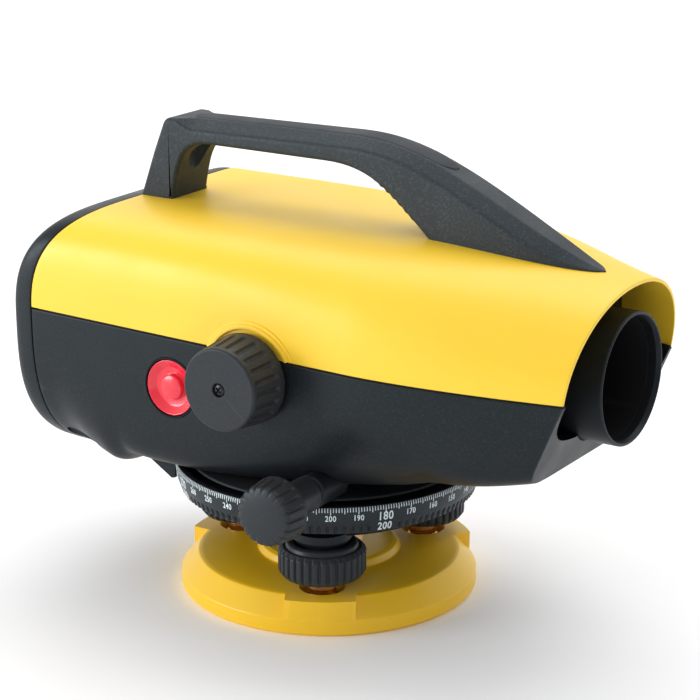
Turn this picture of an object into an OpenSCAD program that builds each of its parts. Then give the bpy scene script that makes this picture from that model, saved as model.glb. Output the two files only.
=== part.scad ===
// Automatic level: telescope, compensator and readout in a two-shell body on a three-screw base.
// +X looks out of the objective, +Y is to the left, +Z is up. The origin is the centre of the
// tripod thread at the underside of the base plate.

/* [Body] */
// Half width of the body behind its taper
body_hw = 52; // [50:0.5:53]
// Height of the flat top of the body
body_top = 132.8; // [131:0.2:134]
// Station of the joint between the shells and the rear cap
rear_x = -89.4; // [-92:0.2:-88]
// Wall thickness of the shells
wall = 2.4; // [2:0.1:2.8]

/* [Nose] */
// Station of the front corners of the parting line
nose_x = 111.6; // [110:0.2:113]
// Half width of the nose at the parting line
nose_hw = 39.25; // [37:0.25:41]
// Height of the hood at the front edge
nose_top = 126.2; // [125:0.2:128]

/* [Telescope] */
// Height of the line of sight
sight_z = 94.5; // [94:0.1:95]
// Outer radius of the objective tube
tube_r = 22; // [21.5:0.1:22.3]
// Front end of the objective tube
tube_front = 116.3; // [114:0.1:117]

/* [Controls] */
// Focus knob axis, along X
focus_x = 3.5; // [3:0.1:4]
// Focus knob axis, height
focus_z = 89.6; // [89.4:0.1:89.8]
// Drive screw axis, along X
drive_x = 24.5; // [24.4:0.1:24.6]
// Drive screw axis, height
drive_z = 52.5; // [52.4:0.1:52.6]
// Outer face of the drive knobs from the middle plane
drive_face = 76.5; // [75:0.5:78]

/* [Base] */
// Radius of the base plate
base_r = 52.4; // [51.5:0.3:54]
// Height of the raised part of the base plate
base_top = 12.6; // [12:0.1:12.8]
// Distance of the foot screws from the vertical axis
foot_pitch = 38; // [37.5:0.1:38.5]
// Wall radius of the 5/8 inch tripod thread
thread_r = 6.9; // [6.8:0.05:7.0]

/* [Hidden] */
$fn = 48;
RUN = 0.05;                 // radial clearance of a running fit
GAP = 0.25;                 // half the gap that the parting seal fills
FOOT_ANGLES = [-60, 60, 180];
SPLIT_Z = 95;               // parting line at the nose
SPLIT_SLOPE = 0.018;        // how much it rises towards the rear
TAPER_X = 40;               // where the body starts to narrow
HEEL_Z = 43;                // underside of the rear heel
BELLY_Z = 48.3;             // underside over the graduated ring
BELLY_SLOPE = 0.2;
BELLY_X = 28;               // where the underside starts to rise
LEAN_TOP = 17;              // how far the rear joint leans forward at the top
LEAN_LOW = 6;               // and at the bottom
RAKE_TOP = 0.16;            // slope of the front edge of the hood
RAKE_LOW = 0.42;            // slope of the front edge below the parting line
PANEL_X = -99;              // rear face of the control panel
PANEL_HW = 40;
PANEL_Z = 85;
PANEL_HH = 30;
EYE_X = -107;               // rear of the eyecup
RING_TOP = 46.9;            // graduated ring
RING_R = 53.9;
WHEEL_TEETH = 39;
WHEEL_TIP = 21.4;
WHEEL_ROOT = 20.1;
WORM_R = 3.4;
WORM_WAVE = 0.7;
WORM_PITCH = 2 * PI * 20.8 / WHEEL_TEETH;
PINION_TEETH = 10;
PINION_R = 4;               // pitch radius
KEY_SPOTS = [[-28, 99], [-28, 86], [28, 99], [28, 86]];
TRIGGER = [-29.4, 80];
MOUTH = [36, 17];           // half width and depth of the mouth below the parting line
DOOR_X = [-66, -12];
DOOR_Z = [65.6, 93];
DOOR_PIN = [54.2, 65];
LEVEL = [22, 63.5, 86];
SPRING_STUD = 2.9;

// ---- shape rules shared by the shells ----
function ramp(x, a, b) = x <= a ? 0 : x >= b ? 1 : (x - a) / (b - a);
function smooth(t) = t * t * (3 - 2 * t);
function mix(a, b, t) = a + (b - a) * t;
function split_z(x) = SPLIT_Z + SPLIT_SLOPE * (nose_x - x);
function half_w(x) = body_hw - (body_hw - nose_hw) * pow(ramp(x, TAPER_X, nose_x), 1.6);
function top_z(x) = body_top - (body_top - nose_top) * pow(ramp(x, TAPER_X, nose_x), 2);
function bottom_z(x) = mix(HEEL_Z, BELLY_Z, smooth(ramp(x, -64, -53)))
    + BELLY_SLOPE * max(0, x - BELLY_X);
// The left shoulder of the upper side is fuller than the right one.
function top_power(x, left) = left ? mix(12, 2.15, smooth(ramp(x, -45, nose_x)))
    : mix(5, 2.15, smooth(ramp(x, -60, nose_x)));
// The lower side is boxier over the battery and again at the nose.
function low_power(x) = 3.4 + 5.4 * smooth(ramp(x, -84, -40)) * (1 - smooth(ramp(x, -30, 28)))
    + 4.6 * smooth(ramp(x, 62, nose_x));
function rear_lean(z) = z > split_z(rear_x)
    ? LEAN_TOP * pow((z - split_z(rear_x)) / (body_top - split_z(rear_x)), 2.2)
    : LEAN_LOW * pow((split_z(rear_x) - z) / (split_z(rear_x) - HEEL_Z), 3);
function end_shift(x, z) = rear_lean(z) * (1 - ramp(x, rear_x, -30))
    + (z > split_z(x) ? RAKE_TOP : RAKE_LOW) * (z - split_z(x)) * ramp(x, 50, nose_x);

// One point of the body's cross-section at station x, at polar angle a round the parting line.
function section(x, a, inset) = let (
        up = sin(a) >= 0,
        w = half_w(x) - inset,
        h = (up ? top_z(x) - split_z(x) : split_z(x) - bottom_z(x)) - inset,
        n = up ? top_power(x, cos(a) > 0) : low_power(x),
        r = pow(pow(abs(cos(a)) / w, n) + pow(abs(sin(a)) / h, n), -1 / n))
    [r * cos(a), split_z(x) + r * sin(a)];

function body_point(x, a, inset, lift) = let (p = section(x, a, inset), z = p[1] + lift)
    [x + end_shift(x, z), p[0], z];

// A shell between two angles: outer points, then inner points, at each station.
module shell(stations, a0, a1, steps, lift) {
    n = steps + 1;
    m = len(stations);
    points = [for (x = stations) each concat(
        [for (i = [0:steps]) body_point(x, mix(a0, a1, i / steps), 0, lift)],
        [for (i = [steps:-1:0]) body_point(x, mix(a0, a1, i / steps), wall, lift)])];
    ring = 2 * n;
    sides = [for (k = [0:m - 2], j = [0:ring - 1]) let (q = (j + 1) % ring)
        [k * ring + j, (k + 1) * ring + j, (k + 1) * ring + q, k * ring + q]];
    back = [for (i = [0:steps - 1]) [i, i + 1, ring - 2 - i, ring - 1 - i]];
    front = [for (f = back) [for (i = [3:-1:0]) f[i] + (m - 1) * ring]];
    polyhedron(points, concat(sides, back, front), convexity = 8);
}

// A plate that fills the cross-section from angle a0 to a1 between two stations.
module section_plate(x0, x1, a0, a1, steps, inset, lift) {
    n = steps + 1;
    points = [for (x = [x0, x1], i = [0:steps])
        body_point(x, mix(a0, a1, i / steps), inset, lift)];
    sides = [for (i = [0:steps]) let (q = (i + 1) % n) [i, n + i, n + q, q]];
    polyhedron(points, concat(sides, [[for (i = [0:steps]) i]],
        [[for (i = [steps:-1:0]) n + i]]), convexity = 4);
}

// A closed surface through rings of equal length, the last ring joined to the first.
module ring_surface(rings) {
    m = len(rings);
    n = len(rings[0]);
    polyhedron([for (r = rings) each r], [for (k = [0:m - 1], j = [0:n - 1])
        let (k1 = (k + 1) % m, q = (j + 1) % n)
        [k * n + j, k * n + q, k1 * n + q, k1 * n + j]], convexity = 8);
}

module rod_x(x0, x1, r, y = 0, z = sight_z) {
    translate([x0, y, z]) rotate([0, 90, 0]) cylinder(r = r, h = x1 - x0);
}

module rod_y(y0, y1, r, x, z) {
    translate([x, y0, z]) rotate([-90, 0, 0]) cylinder(r = r, h = y1 - y0);
}

module tube_x(x0, x1, r_out, r_in) {
    difference() {
        rod_x(x0, x1, r_out);
        rod_x(x0 - 1, x1 + 1, r_in);
    }
}

// A round body turned about the line of sight from [x, radius] points.
module turned_x(outline) {
    translate([0, 0, sight_z]) rotate([90, 0, 90]) rotate_extrude()
        polygon([for (p = outline) [p[1], p[0]]]);
}

// A lens with rims at x0 and x1 whose faces bulge along X by the given sags.
module lens(x0, x1, r, sag0, sag1) {
    turned_x(concat([for (i = [0:6]) [x0 + sag0 * (1 - pow(i / 6, 2)), r * i / 6]],
        [for (i = [6:-1:0]) [x1 + sag1 * (1 - pow(i / 6, 2)), r * i / 6]]));
}

module at_feet() {
    for (a = FOOT_ANGLES) rotate([0, 0, a]) translate([foot_pitch, 0, 0]) children();
}

module bar(x, y, z) {
    translate([x[0], y[0], z[0]]) cube([x[1] - x[0], y[1] - y[0], z[1] - z[0]]);
}

// ---- base ----
module base_plate() {
    color("gold") difference() {
        union() {
            rotate_extrude($fn = 96) polygon([[0, 0], [base_r - 1, 0], [base_r, 1],
                [base_r, 5.8], [base_r - 0.8, 6.6], [46.4, base_top - 0.4],
                [45.4, base_top], [25, base_top], [24, base_top + 2.2],
                [23, base_top + 2.8], [0, base_top + 2.8]]);
            intersection() {
                cylinder(r = base_r - 0.2, h = base_top - 0.2, $fn = 96);
                for (a = FOOT_ANGLES) rotate([0, 0, a])
                    translate([40, -12, 0.5]) cube([20, 24, base_top]);
            }
        }
        translate([0, 0, -1]) cylinder(r = 12, h = 20);
        translate([0, 0, -1]) cylinder(r = 15, h = 2.5);
        translate([0, 0, -1]) cylinder(r = 46, h = 3.2);
        at_feet() translate([0, 0, 4.2]) cylinder(r = 8, h = 10);
        at_feet() cylinder(r = SPRING_STUD + RUN, h = 10);
    }
    color("gold") difference() {
        cylinder(r = 17, h = 2.2);
        translate([0, 0, -1]) cylinder(r = 15, h = 5);
    }
}

module tripod_thread_insert() {
    color("goldenrod") difference() {
        union() {
            cylinder(r = 12, h = 15);
            cylinder(r = 15, h = 1.5);
        }
        translate([0, 0, -1]) cylinder(r = thread_r, h = 20);
    }
}

module spring_plate() {
    color("silver") translate([0, 0, 1.1]) difference() {
        union() {
            difference() {
                cylinder(r = 27, h = 0.9);
                translate([0, 0, -1]) cylinder(r = 17.5, h = 3);
            }
            for (a = FOOT_ANGLES) rotate([0, 0, a]) bar([25, 38], [-7, 7], [0, 0.9]);
            at_feet() cylinder(r = 7, h = 0.9);
        }
        at_feet() translate([0, 0, -1]) cylinder(r = SPRING_STUD + 0.4, h = 3);
        for (a = FOOT_ANGLES) rotate([0, 0, a + 60]) translate([22, 0, -1])
            cylinder(r = 1.6, h = 3);
    }
}

module spring_plate_screws() {
    color("silver") for (a = FOOT_ANGLES) rotate([0, 0, a + 60]) translate([22, 0, 0]) {
        translate([0, 0, 0.3]) cylinder(r = 2.8, h = 0.8);
        translate([0, 0, 1.1]) cylinder(r = 1.5, h = 1.1);
    }
}

module tribrach_body() {
    color("dimgray") difference() {
        union() {
            translate([0, 0, 33]) cylinder(r1 = 44.5, r2 = 46.5, h = 3.2);
            translate([0, 0, 28.4]) cylinder(r = 24.5, h = 5);
            at_feet() translate([0, 0, 29.8]) cylinder(r = 10.2, h = 4.2);
            translate([0, 0, 36]) cylinder(r = 24, h = 9);
            translate([0, 0, 44.9]) cylinder(r = 13.5, h = 6.1);
        }
        translate([0, 0, 20]) cylinder(r = 11, h = 40);
        at_feet() translate([0, 0, 20]) cylinder(r = 6, h = 30);
    }
}

module foot_screw_bushes() {
    color("goldenrod") at_feet() translate([0, 0, 29.4]) difference() {
        cylinder(r = 6, h = 6.8);
        translate([0, 0, -1]) cylinder(r = 4 + RUN, h = 12);
    }
}

module axis_bush() {
    color("goldenrod") translate([0, 0, 28.4]) difference() {
        cylinder(r = 11, h = 25.6);
        translate([0, 0, -1]) cylinder(r = 8 + RUN, h = 30);
    }
}

module worm_wheel() {
    color("darkkhaki") translate([0, 0, 51]) linear_extrude(3) difference() {
        union() {
            circle(WHEEL_ROOT, $fn = 96);
            for (i = [0:WHEEL_TEETH - 1]) rotate(i * 360 / WHEEL_TEETH)
                polygon([[WHEEL_ROOT - 0.5, -0.75], [WHEEL_TIP, -0.4],
                    [WHEEL_TIP, 0.4], [WHEEL_ROOT - 0.5, 0.75]]);
        }
        circle(11 + RUN);
    }
}

module foot_knob(i) {
    color([0.16, 0.17, 0.19]) rotate([0, 0, FOOT_ANGLES[i]]) translate([foot_pitch, 0, 0])
    difference() {
        rotate_extrude() polygon([[0, 17], [11, 17], [13.2, 17.4], [14.4, 18.2],
            [15, 19.6], [15, 26.2], [14.2, 27.6], [12.6, 28], [11.4, 29.2], [9.4, 29.4],
            [8.4, 28.4], [0, 28.4]]);
        for (a = [0:12:359]) rotate([0, 0, a]) translate([15.3, 0, 10]) cylinder(r = 0.7, h = 20);
        translate([0, 0, 10]) cylinder(r = 4.4, h = 20);
    }
}

module foot_spindle(i) {
    color("goldenrod") rotate([0, 0, FOOT_ANGLES[i]]) translate([foot_pitch, 0, 0]) {
        translate([0, 0, 0.25]) cylinder(r = 4.4, h = 0.6);
        translate([0, 0, 0.8]) cylinder(r = SPRING_STUD, h = 4);
        translate([0, 0, 4.5]) rotate_extrude() polygon([[0, 0], [6.4, 0], [7, 0.8],
            [7, 3.6], [5.6, 5.6], [5.2, 6.4], [5.2, 12.5], [4.4, 12.5], [4.4, 23.8], [4, 24.2],
            [4, 31.4], [0, 31.4]]);
    }
}

module circle_ring() {
    color([0.13, 0.14, 0.16]) difference() {
        rotate_extrude($fn = 96) polygon([[24 + RUN, 40.4], [28, 40.4], [28, 42.8],
            [49.6, 42.8], [49.6, 38.6], [48.4, 36.6], [50.6, 36.6], [52.4, 38.4],
            [53.5, 41.6], [RING_R, 45.6], [53.5, RING_TOP], [51.8, RING_TOP],
            [51, 46.2], [50.4, 44.8], [24 + RUN, 44.8]]);
        for (a = [0:4:359]) rotate([0, 0, a]) translate([53.2, 0, 35])
            cylinder(r = 0.7, h = 4.6);
    }
}

// ---- upper assembly: frame and shells ----
module standing_axis() {
    color("silver") translate([0, 0, 29]) {
        cylinder(r = 8, h = 26.4);
        translate([0, 0, 26]) cylinder(r = 14, h = 3);
    }
}

module alidade_flange() {
    color([0.14, 0.15, 0.17]) difference() {
        translate([0, 0, 47.3]) cylinder(r1 = 49.4, r2 = 48.7, h = 0.75, $fn = 96);
        translate([0, 0, 40]) cylinder(r = 14.5, h = 20);
        for (s = [-1, 1]) bar([drive_x - 6.4, drive_x + 6.4], [s * 42 - 9, s * 42 + 9], [40, 60]);
    }
}

module chassis() {
    color("lightslategray") difference() {
        union() {
            bar([-80, 34], [-22, 22], [58, 62]);
            rod_x(26, 34, 26);
            bar([26, 34], [-18, 18], [61, 92]);
            bar([-14, -10], [-17.5, 17.5], [61, 112]);
            bar([-80, -76], [-17, 17], [61, 108]);
            bar([-3, 10], [-36, -30], [74, 95]);
            bar([-3, 10], [-36, -20], [58, 75]);
        }
        rod_x(20, 40, tube_r);
        rod_x(-20, 0, 16.4);
        rod_x(-90, -70, 12.8);
        rod_y(-40, -29, 3 + RUN, focus_x, focus_z);
    }
}

module lower_housing() {
    stations = [rear_x, -84, -78, -72, each [-67:3:-52], each [-46:12:38], each [46:10:106],
        nose_x];
    color([0.17, 0.18, 0.2]) {
        difference() {
            union() {
                shell(stations, 180, 360, 36, -GAP);
                heel_boss();
            }
            translate([0, 0, 40]) cylinder(r = 14.5, h = 20);
            bar([15, 34], [-13, 13], [45, 52]);
            bar([drive_x - 2.7, drive_x + 2.7], [-26, 26], [45, 54]);
            rod_y(-60, -25, 6, drive_x, drive_z);
            rod_y(25, 60, 6, drive_x, drive_z);
            rod_y(-60, -40, 5, focus_x, focus_z);
            rod_y(-60, -40, 10.7, TRIGGER[0], TRIGGER[1]);
            bar(DOOR_X, [40, 56], DOOR_Z);
            for (s = [-1, 1]) rod_x(-84, -66, 4.5, s * 43, 49.4);
            at_housing_screws() {
                translate([0, 0, -3]) cylinder(r = 2.4 + RUN, h = 4.1, $fn = 24);
                cylinder(r = 1.2 + RUN, h = 6, $fn = 24);
            }
        }
        // ears that hold the pin of the battery door
        for (x = [DOOR_X[0] + 1.5, DOOR_X[1] - 5.5]) difference() {
            union() {
                rod_x(x, x + 4, 1.9, DOOR_PIN[0], DOOR_PIN[1]);
                bar([x, x + 4], [48.2, DOOR_PIN[0] - 0.9], [63.1, 65.2]);
            }
            rod_x(x - 1, x + 5, 0.8 + RUN, DOOR_PIN[0], DOOR_PIN[1]);
        }
    }
}

// Wedge under the heel, hollowed to clear the graduated ring.
module heel_boss() {
    difference() {
        translate([0, 25, 0]) rotate([90, 0, 0]) linear_extrude(50)
            polygon([[-61.5, 41.8], [-50.5, 35.2], [-49, 35.6], [-48.5, 49.4], [-56, 49.4],
                [-61.5, 44.4]]);
        translate([0, 0, 30]) cylinder(r = 54.6, h = 30);
    }
}

module at_housing_screws() {
    for (x = [-80, 84], a = [245, 295]) translate(body_point(x, a, 0, -GAP)) children();
}

module upper_housing() {
    stations = [rear_x, -84, -78, -72, -66, each [-58:12:38], each [46:6:106], nose_x];
    color([0.98, 0.84, 0.24]) shell(stations, 0, 180, 40, GAP);
    // raised half collar over the focus knob
    color([0.98, 0.84, 0.24]) difference() {
        rod_y(-53.2, -50.5, 17.8, focus_x, focus_z);
        rod_y(-54, -49, 16.6, focus_x, focus_z);
        bar([-20, 30], [-60, -40], [60, split_z(focus_x) + 1.2]);
    }
}

// The seal follows the parting line along both sides.
module parting_seal() {
    stations = [for (x = [rear_x + 3:6:nose_x]) x];
    color([0.05, 0.05, 0.06])
    translate([0, 0, split_z(0)]) rotate([0, atan(SPLIT_SLOPE), 0])
    translate([0, 0, 0.05 - GAP]) linear_extrude(2 * GAP - 0.1) for (s = [-1, 1])
        polygon(concat([for (x = stations) [x, s * (half_w(x) - 0.5)]],
            [for (i = [len(stations) - 1:-1:0])
                [stations[i], s * (half_w(stations[i]) - 2)]]));
}

module front_bulkhead() {
    color([0.14, 0.15, 0.17]) difference() {
        union() {
            section_plate(107, 109.4, 181, 359, 40, wall + 0.15, -GAP);
            section_plate(88, 90.4, 1, 179, 40, wall + 0.15, GAP);
        }
        rod_x(80, 120, tube_r);
        // the mouth under the hood, round the tube
        translate([94, 0, SPLIT_Z]) rotate([90, 0, 90]) linear_extrude(20) polygon(concat(
            [[MOUTH[0], 3], [-MOUTH[0], 3]], [for (a = [180:6:360]) [
                MOUTH[0] * sign(cos(a)) * pow(abs(cos(a)), 2 / 3), -MOUTH[1] * pow(abs(sin(a)), 2 / 3)]]));
    }
}

module telescope_tube() {
    color([0.12, 0.13, 0.15]) turned_x([[26, 18.6], [60, 18.6], [60, 20], [tube_front - 2, 20.4],
        [tube_front, 21], [tube_front, 21.5], [tube_front - 0.6, tube_r], [26, tube_r]]);
}

module objective_lens() {
    color([0.7, 0.8, 0.85, 0.5]) lens(54, 59, 18.6, -2.6, 2.8);
}

module focus_sleeve() {
    color("gray") difference() {
        tube_x(-14, 25.5, 16.4, 14 + RUN);
        bar([-11, 18], [-20, -10], [93.6, 97.8]);
    }
}

module compensator_frame() {
    color("lightslategray") difference() {
        union() {
            bar([-44, -16], [-15.5, 15.5], [62, 76]);
            for (y = [-15.5, 13]) bar([-42, -18], [y, y + 2.5], [75.5, 115]);
            bar([-42, -18], [-15.5, 15.5], [112.8, 115]);
        }
        rod_y(-20, 20, 1 + RUN, -30, 110);
    }
}

module damping_magnet() {
    color("darkgray") difference() {
        bar([-34, -26], [-6, 6], [76, 81]);
        bar([-35, -25], [-1.2, 1.2], [78, 82]);
    }
}

module beam_splitter() {
    color([0.7, 0.8, 0.85, 0.5]) difference() {
        bar([-68, -52], [-8, 8], [sight_z - 8, sight_z + 8]);
        translate([-68, -9, sight_z + 8]) rotate([0, 45, 0]) translate([-1, 0, -1])
            cube([2, 18, 2]);
    }
    color("lightslategray") bar([-68, -52], [-10, 10], [62, sight_z - 8]);
}

module reticle() {
    color([0.7, 0.8, 0.85, 0.5]) rod_x(-82, -80.4, 9);
}

module eyepiece_mount() {
    color("dimgray") tube_x(-104, -76, 12.8, 9);
}

// ---- rear end ----
function panel_outline(a, grow) = let (n = 4.5,
        r = pow(pow(abs(cos(a)) / (PANEL_HW + grow), n)
            + pow(abs(sin(a)) / (PANEL_HH + grow), n), -1 / n))
    [r * cos(a), PANEL_Z + r * sin(a)];

// Ring of the rear cap: blend 0 is the body section, 1 the edge of the panel opening.
function cap_ring(blend, back, inset, steps) = [for (i = [0:steps - 1]) let (
        a = i * 360 / steps,
        s = section(rear_x, a, inset),
        p = panel_outline(a, 0.1),
        q = mix(s, p, blend))
    [rear_x + rear_lean(s[1]) * (1 - blend) - back, q[0], q[1]]];

module rear_cap() {
    outer = [[0, 0.3], [0, 3], [0.03, 6], [0.1, 8], [0.25, 9.2], [0.55, 9.6], [1, 9.6]];
    inner = [[1, 7.2], [0.5, 7], [0.2, 6], [0.05, 4], [0, 0.3]];
    color([0.17, 0.18, 0.2]) ring_surface(concat(
        [for (r = outer) cap_ring(r[0], r[1], 0, 72)],
        [for (r = inner) cap_ring(r[0], r[1], wall, 72)]));
}

module control_panel() {
    color([0.2, 0.21, 0.23]) difference() {
        translate([PANEL_X, 0, 0]) rotate([90, 0, 90]) linear_extrude(2.4)
            polygon([for (a = [0:5:359]) panel_outline(a, 0)]);
        rod_x(-110, -90, 13);
        for (s = KEY_SPOTS) rod_x(-110, -90, 4.7, s[0], s[1]);
        bar([-110, -90], [-24, 24], [59, 76]);
    }
}

module display_window() {
    color([0.5, 0.6, 0.55, 0.6]) bar([PANEL_X + 0.3, PANEL_X + 1.6], [-24, 24], [59, 76]);
}

module display_module() {
    color("darkseagreen") bar([-96.6, -92], [-26, 26], [57.5, 77.5]);
}

module circuit_boards() {
    color("seagreen") difference() {
        bar([-88, -86.4], [-36, 36], [56, 110]);
        rod_x(-90, -80, 14);
    }
    color("seagreen") bar([-66, -54], [-18, -16.4], [86, 103]);
}

module battery_cells() {
    color("darkorange") for (y = [24.5, 39.3], z = [70.2, 85]) {
        rod_x(-64, -14.6, 7.2, y, z);
        rod_x(-14.7, -13.6, 2.7, y, z);
    }
}

module battery_holder() {
    color("dimgray") {
        bar([-66.2, -64.1], [17.2, 45], [66, 93]);
        bar([-13.5, -11.4], [18, 45], [66, 93]);
        bar([-66.2, -11.4], [22.3, 40], [61, 62.6]);
        bar([-66.2, -64.1], [22.3, 40], [62, 67]);
        bar([-13.5, -11.4], [22.3, 40], [62, 67]);
    }
}

module battery_door() {
    stations = [for (x = [DOOR_X[0] - 4:10:DOOR_X[1] + 6]) x];
    color([0.19, 0.2, 0.22]) {
        intersection() {
            shell(stations, 300, 359, 30, -GAP);
            bar([DOOR_X[0] + 0.4, DOOR_X[1] - 0.4], [40, 56], [DOOR_Z[0] + 0.4, DOOR_Z[1] - 0.4]);
        }
        bar([DOOR_X[0] + 8, DOOR_X[1] - 8], [48.6, DOOR_PIN[0]], [66.1, 67.4]);
        rod_x(DOOR_X[0] + 6, DOOR_X[1] - 6, 1.6, DOOR_PIN[0], DOOR_PIN[1]);
        rod_x(DOOR_X[0] + 2, DOOR_X[1] - 2, 0.8, DOOR_PIN[0], DOOR_PIN[1]);
    }
}

// ---- handle ----
function bezier(p, t) = pow(1 - t, 3) * p[0] + 3 * t * pow(1 - t, 2) * p[1]
    + 3 * t * t * (1 - t) * p[2] + pow(t, 3) * p[3];
function arc_points(p, n) = [for (i = [0:n]) bezier(p, i / n)];

HANDLE_BROW = [[12, 163], [44, 163.6], [63.5, 147.4], [105.6, 128.6]];
HANDLE_GAP_FRONT = [[5, 154.1], [24, 154.1], [31, 146], [46, 132.9]];
HANDLE_GAP_REAR = [[-58.8, 132.9], [-56, 147], [-55, 154.1], [-42, 154.1]];
HANDLE_TIP = [[105.6, 0], [102, 8], [80, 12], [50, 10.5]];

module handle() {
    side = concat([[-72.7, 132.9], [-66.6, 149.7], [-63, 157.6], [-61.4, 161], [-59.8, 161.7]],
        arc_points(HANDLE_BROW, 16),
        [[104, 127], [100, 128], [90, 129.4], [75, 131], [60, 132.2], [46, 132.9]],
        [for (i = [15:-1:0]) bezier(HANDLE_GAP_FRONT, i / 16)],
        [for (i = [10:-1:0]) bezier(HANDLE_GAP_REAR, i / 10)]);
    plan = concat([[-73, -10], [50, -10.5]], [for (i = [9:-1:1]) let (
            p = bezier(HANDLE_TIP, i / 10)) [p[0], -p[1]]],
        arc_points(HANDLE_TIP, 10), [[-73, 10]]);
    color([0.2, 0.21, 0.23]) difference() {
        intersection() {
            rotate([90, 0, 0]) translate([0, 0, -15]) linear_extrude(30) polygon(side);
            translate([0, 0, 120]) linear_extrude(50) polygon(plan);
        }
        rotate([90, 0, 0]) translate([0, 0, -4.5]) linear_extrude(9)
            polygon(concat(INLAY_TOP, [for (i = [len(INLAY_TOP) - 1:-1:0])
                INLAY_TOP[i] - [0, 1.2]]));
    }
}

INLAY_TOP = concat([[-54, 162.3]], [for (i = [0:6]) bezier(HANDLE_BROW, i / 12) + [0, 0.5]]);

module handle_inlay() {
    color([0.12, 0.13, 0.15]) rotate([90, 0, 0]) translate([0, 0, -4.45]) linear_extrude(8.9)
        polygon(concat([for (p = INLAY_TOP) p - [0, 0.5]],
            [for (i = [len(INLAY_TOP) - 1:-1:0]) INLAY_TOP[i] - [0, 1.15]]));
}

// ---- small fixed pieces ----
module level_housing() {
    color([0.2, 0.21, 0.23]) difference() {
        union() {
            translate([LEVEL[0], LEVEL[1], LEVEL[2] - 6]) cylinder(r = 9.6, h = 11);
            bar([LEVEL[0] - 7, LEVEL[0] + 7], [52.1, 58], [LEVEL[2] - 6, LEVEL[2] + 5]);
        }
        translate([LEVEL[0], LEVEL[1], LEVEL[2] - 4]) cylinder(r = 7.6, h = 12);
    }
}

module level_vial() {
    color([0.75, 0.9, 0.4, 0.6]) translate([LEVEL[0], LEVEL[1], LEVEL[2] - 4]) difference() {
        cylinder(r = 7.55, h = 8.4);
        translate([0, 0, 2]) cylinder(r = 6.2, h = 5);
    }
}

module drive_bushes() {
    color([0.16, 0.17, 0.19]) for (s = [-1, 1]) difference() {
        rod_y(s < 0 ? -49 : 34, s < 0 ? -34 : 49, 5.9, drive_x, drive_z);
        rod_y(-50, 50, 4.4 + RUN, drive_x, drive_z);
        bar([0, 50], [-60, 60], [40, 47.4]);
    }
}

module trigger_bezel() {
    color([0.85, 0.12, 0.22]) difference() {
        rod_y(-52.6, -49, 10.6, TRIGGER[0], TRIGGER[1]);
        rod_y(-55, -45, 10, TRIGGER[0], TRIGGER[1]);
    }
}

module housing_screws() {
    color("silver") at_housing_screws() {
        translate([0, 0, -0.1]) cylinder(r = 2.4, h = 1.2);
        cylinder(r = 1.2, h = 4);
    }
}

// ---- moving pieces ----
module focus_knob() {
    color([0.16, 0.17, 0.19]) translate([focus_x, 0, focus_z]) rotate([90, 0, 0]) difference() {
        rotate_extrude() polygon([[0, 53.4], [15.2, 53.4], [15.5, 54.4], [14, 67.6],
            [13.2, 69.4], [0, 69.4]]);
        for (a = [0:360 / 22:359]) rotate([0, 0, a]) translate([15.2, 0, 57])
            cylinder(r = 0.9, h = 20);
        translate([0, 0, 50]) cylinder(r = 3, h = 12);
        translate([0, 0, 50]) cylinder(r = 1.2, h = 30);
        translate([0, 0, 68]) cylinder(r = 2.3, h = 3);
    }
}

module focus_knob_screw() {
    color("dimgray") {
        rod_y(-69.2, -68, 1.9, focus_x, focus_z);
        rod_y(-68.1, -62, 1.15, focus_x, focus_z);
    }
}

module pinion_outline() {
    union() {
        circle(3.1);
        for (i = [0:PINION_TEETH - 1]) rotate(i * 360 / PINION_TEETH)
            polygon([[2.8, -0.62], [4.55, -0.26], [4.55, 0.26], [2.8, 0.62]]);
    }
}

module focus_shaft() {
    color("silver") {
        rod_y(-61.9, -24.5, 3, focus_x, focus_z);
        // a pinion tooth stands straight up at rest, in a space of the rack
        translate([focus_x, -24.6, focus_z]) rotate([-90, -90, 0]) linear_extrude(5.4)
            pinion_outline();
    }
}

module focus_cell() {
    pitch = 2 * PI * PINION_R / PINION_TEETH;
    color("darkgray") {
        difference() {
            rod_x(-4.5, 11.5, 14);
            rod_x(-6, 13, 11.5);
        }
        bar([0, 7], [-19.6, -12.6], [95.2, 97.2]);
        // rack: its spaces are centred over the pinion at rest
        difference() {
            bar([-8.3, 15.3], [-24.4, -19.4], [93, 97.2]);
            for (i = [-5:5]) translate([focus_x + i * pitch, -25, 0]) rotate([-90, 0, 0])
                linear_extrude(6) polygon([[-0.95, -92.9], [-0.5, -94.6], [0.5, -94.6],
                    [0.95, -92.9]]);
        }
    }
}

module focus_lens() {
    color([0.7, 0.8, 0.85, 0.5]) lens(0, 7, 11.5, 1.8, -1.8);
}

module drive_knobs() {
    color([0.16, 0.17, 0.19]) for (s = [-1, 1]) translate([drive_x, 0, drive_z])
    rotate([s * -90, 0, 0]) difference() {
        translate([0, 0, drive_face]) rotate_extrude() polygon([[0, -26.5], [6, -26.5],
            [6, -11.5], [9.8, -11.5], [10.9, -10.6], [10.2, -2.4], [9.4, -1], [6, -0.3], [0, 0]]);
        for (a = [0:18:359]) rotate([0, 0, a]) translate([10.9, 0, drive_face - 9])
            cylinder(r = 0.8, h = 12);
        cylinder(r = 4.4, h = drive_face - 6);
    }
}

module drive_shaft() {
    turns = 4;
    color("silver") {
        rod_y(6 - drive_face, -36, 4.4, drive_x, drive_z);
        rod_y(36, drive_face - 6, 4.4, drive_x, drive_z);
        rod_y(-37, 37, 2.2, drive_x, drive_z);
        // the thread has a hollow, not a crest, level with the middle plane at rest
        translate([drive_x, -turns / 2 * WORM_PITCH, drive_z]) rotate([-90, 0, 0])
            linear_extrude(turns * WORM_PITCH, twist = -360 * turns, slices = 12 * turns)
            translate([WORM_WAVE, 0]) circle(WORM_R, $fn = 20);
    }
}

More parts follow.
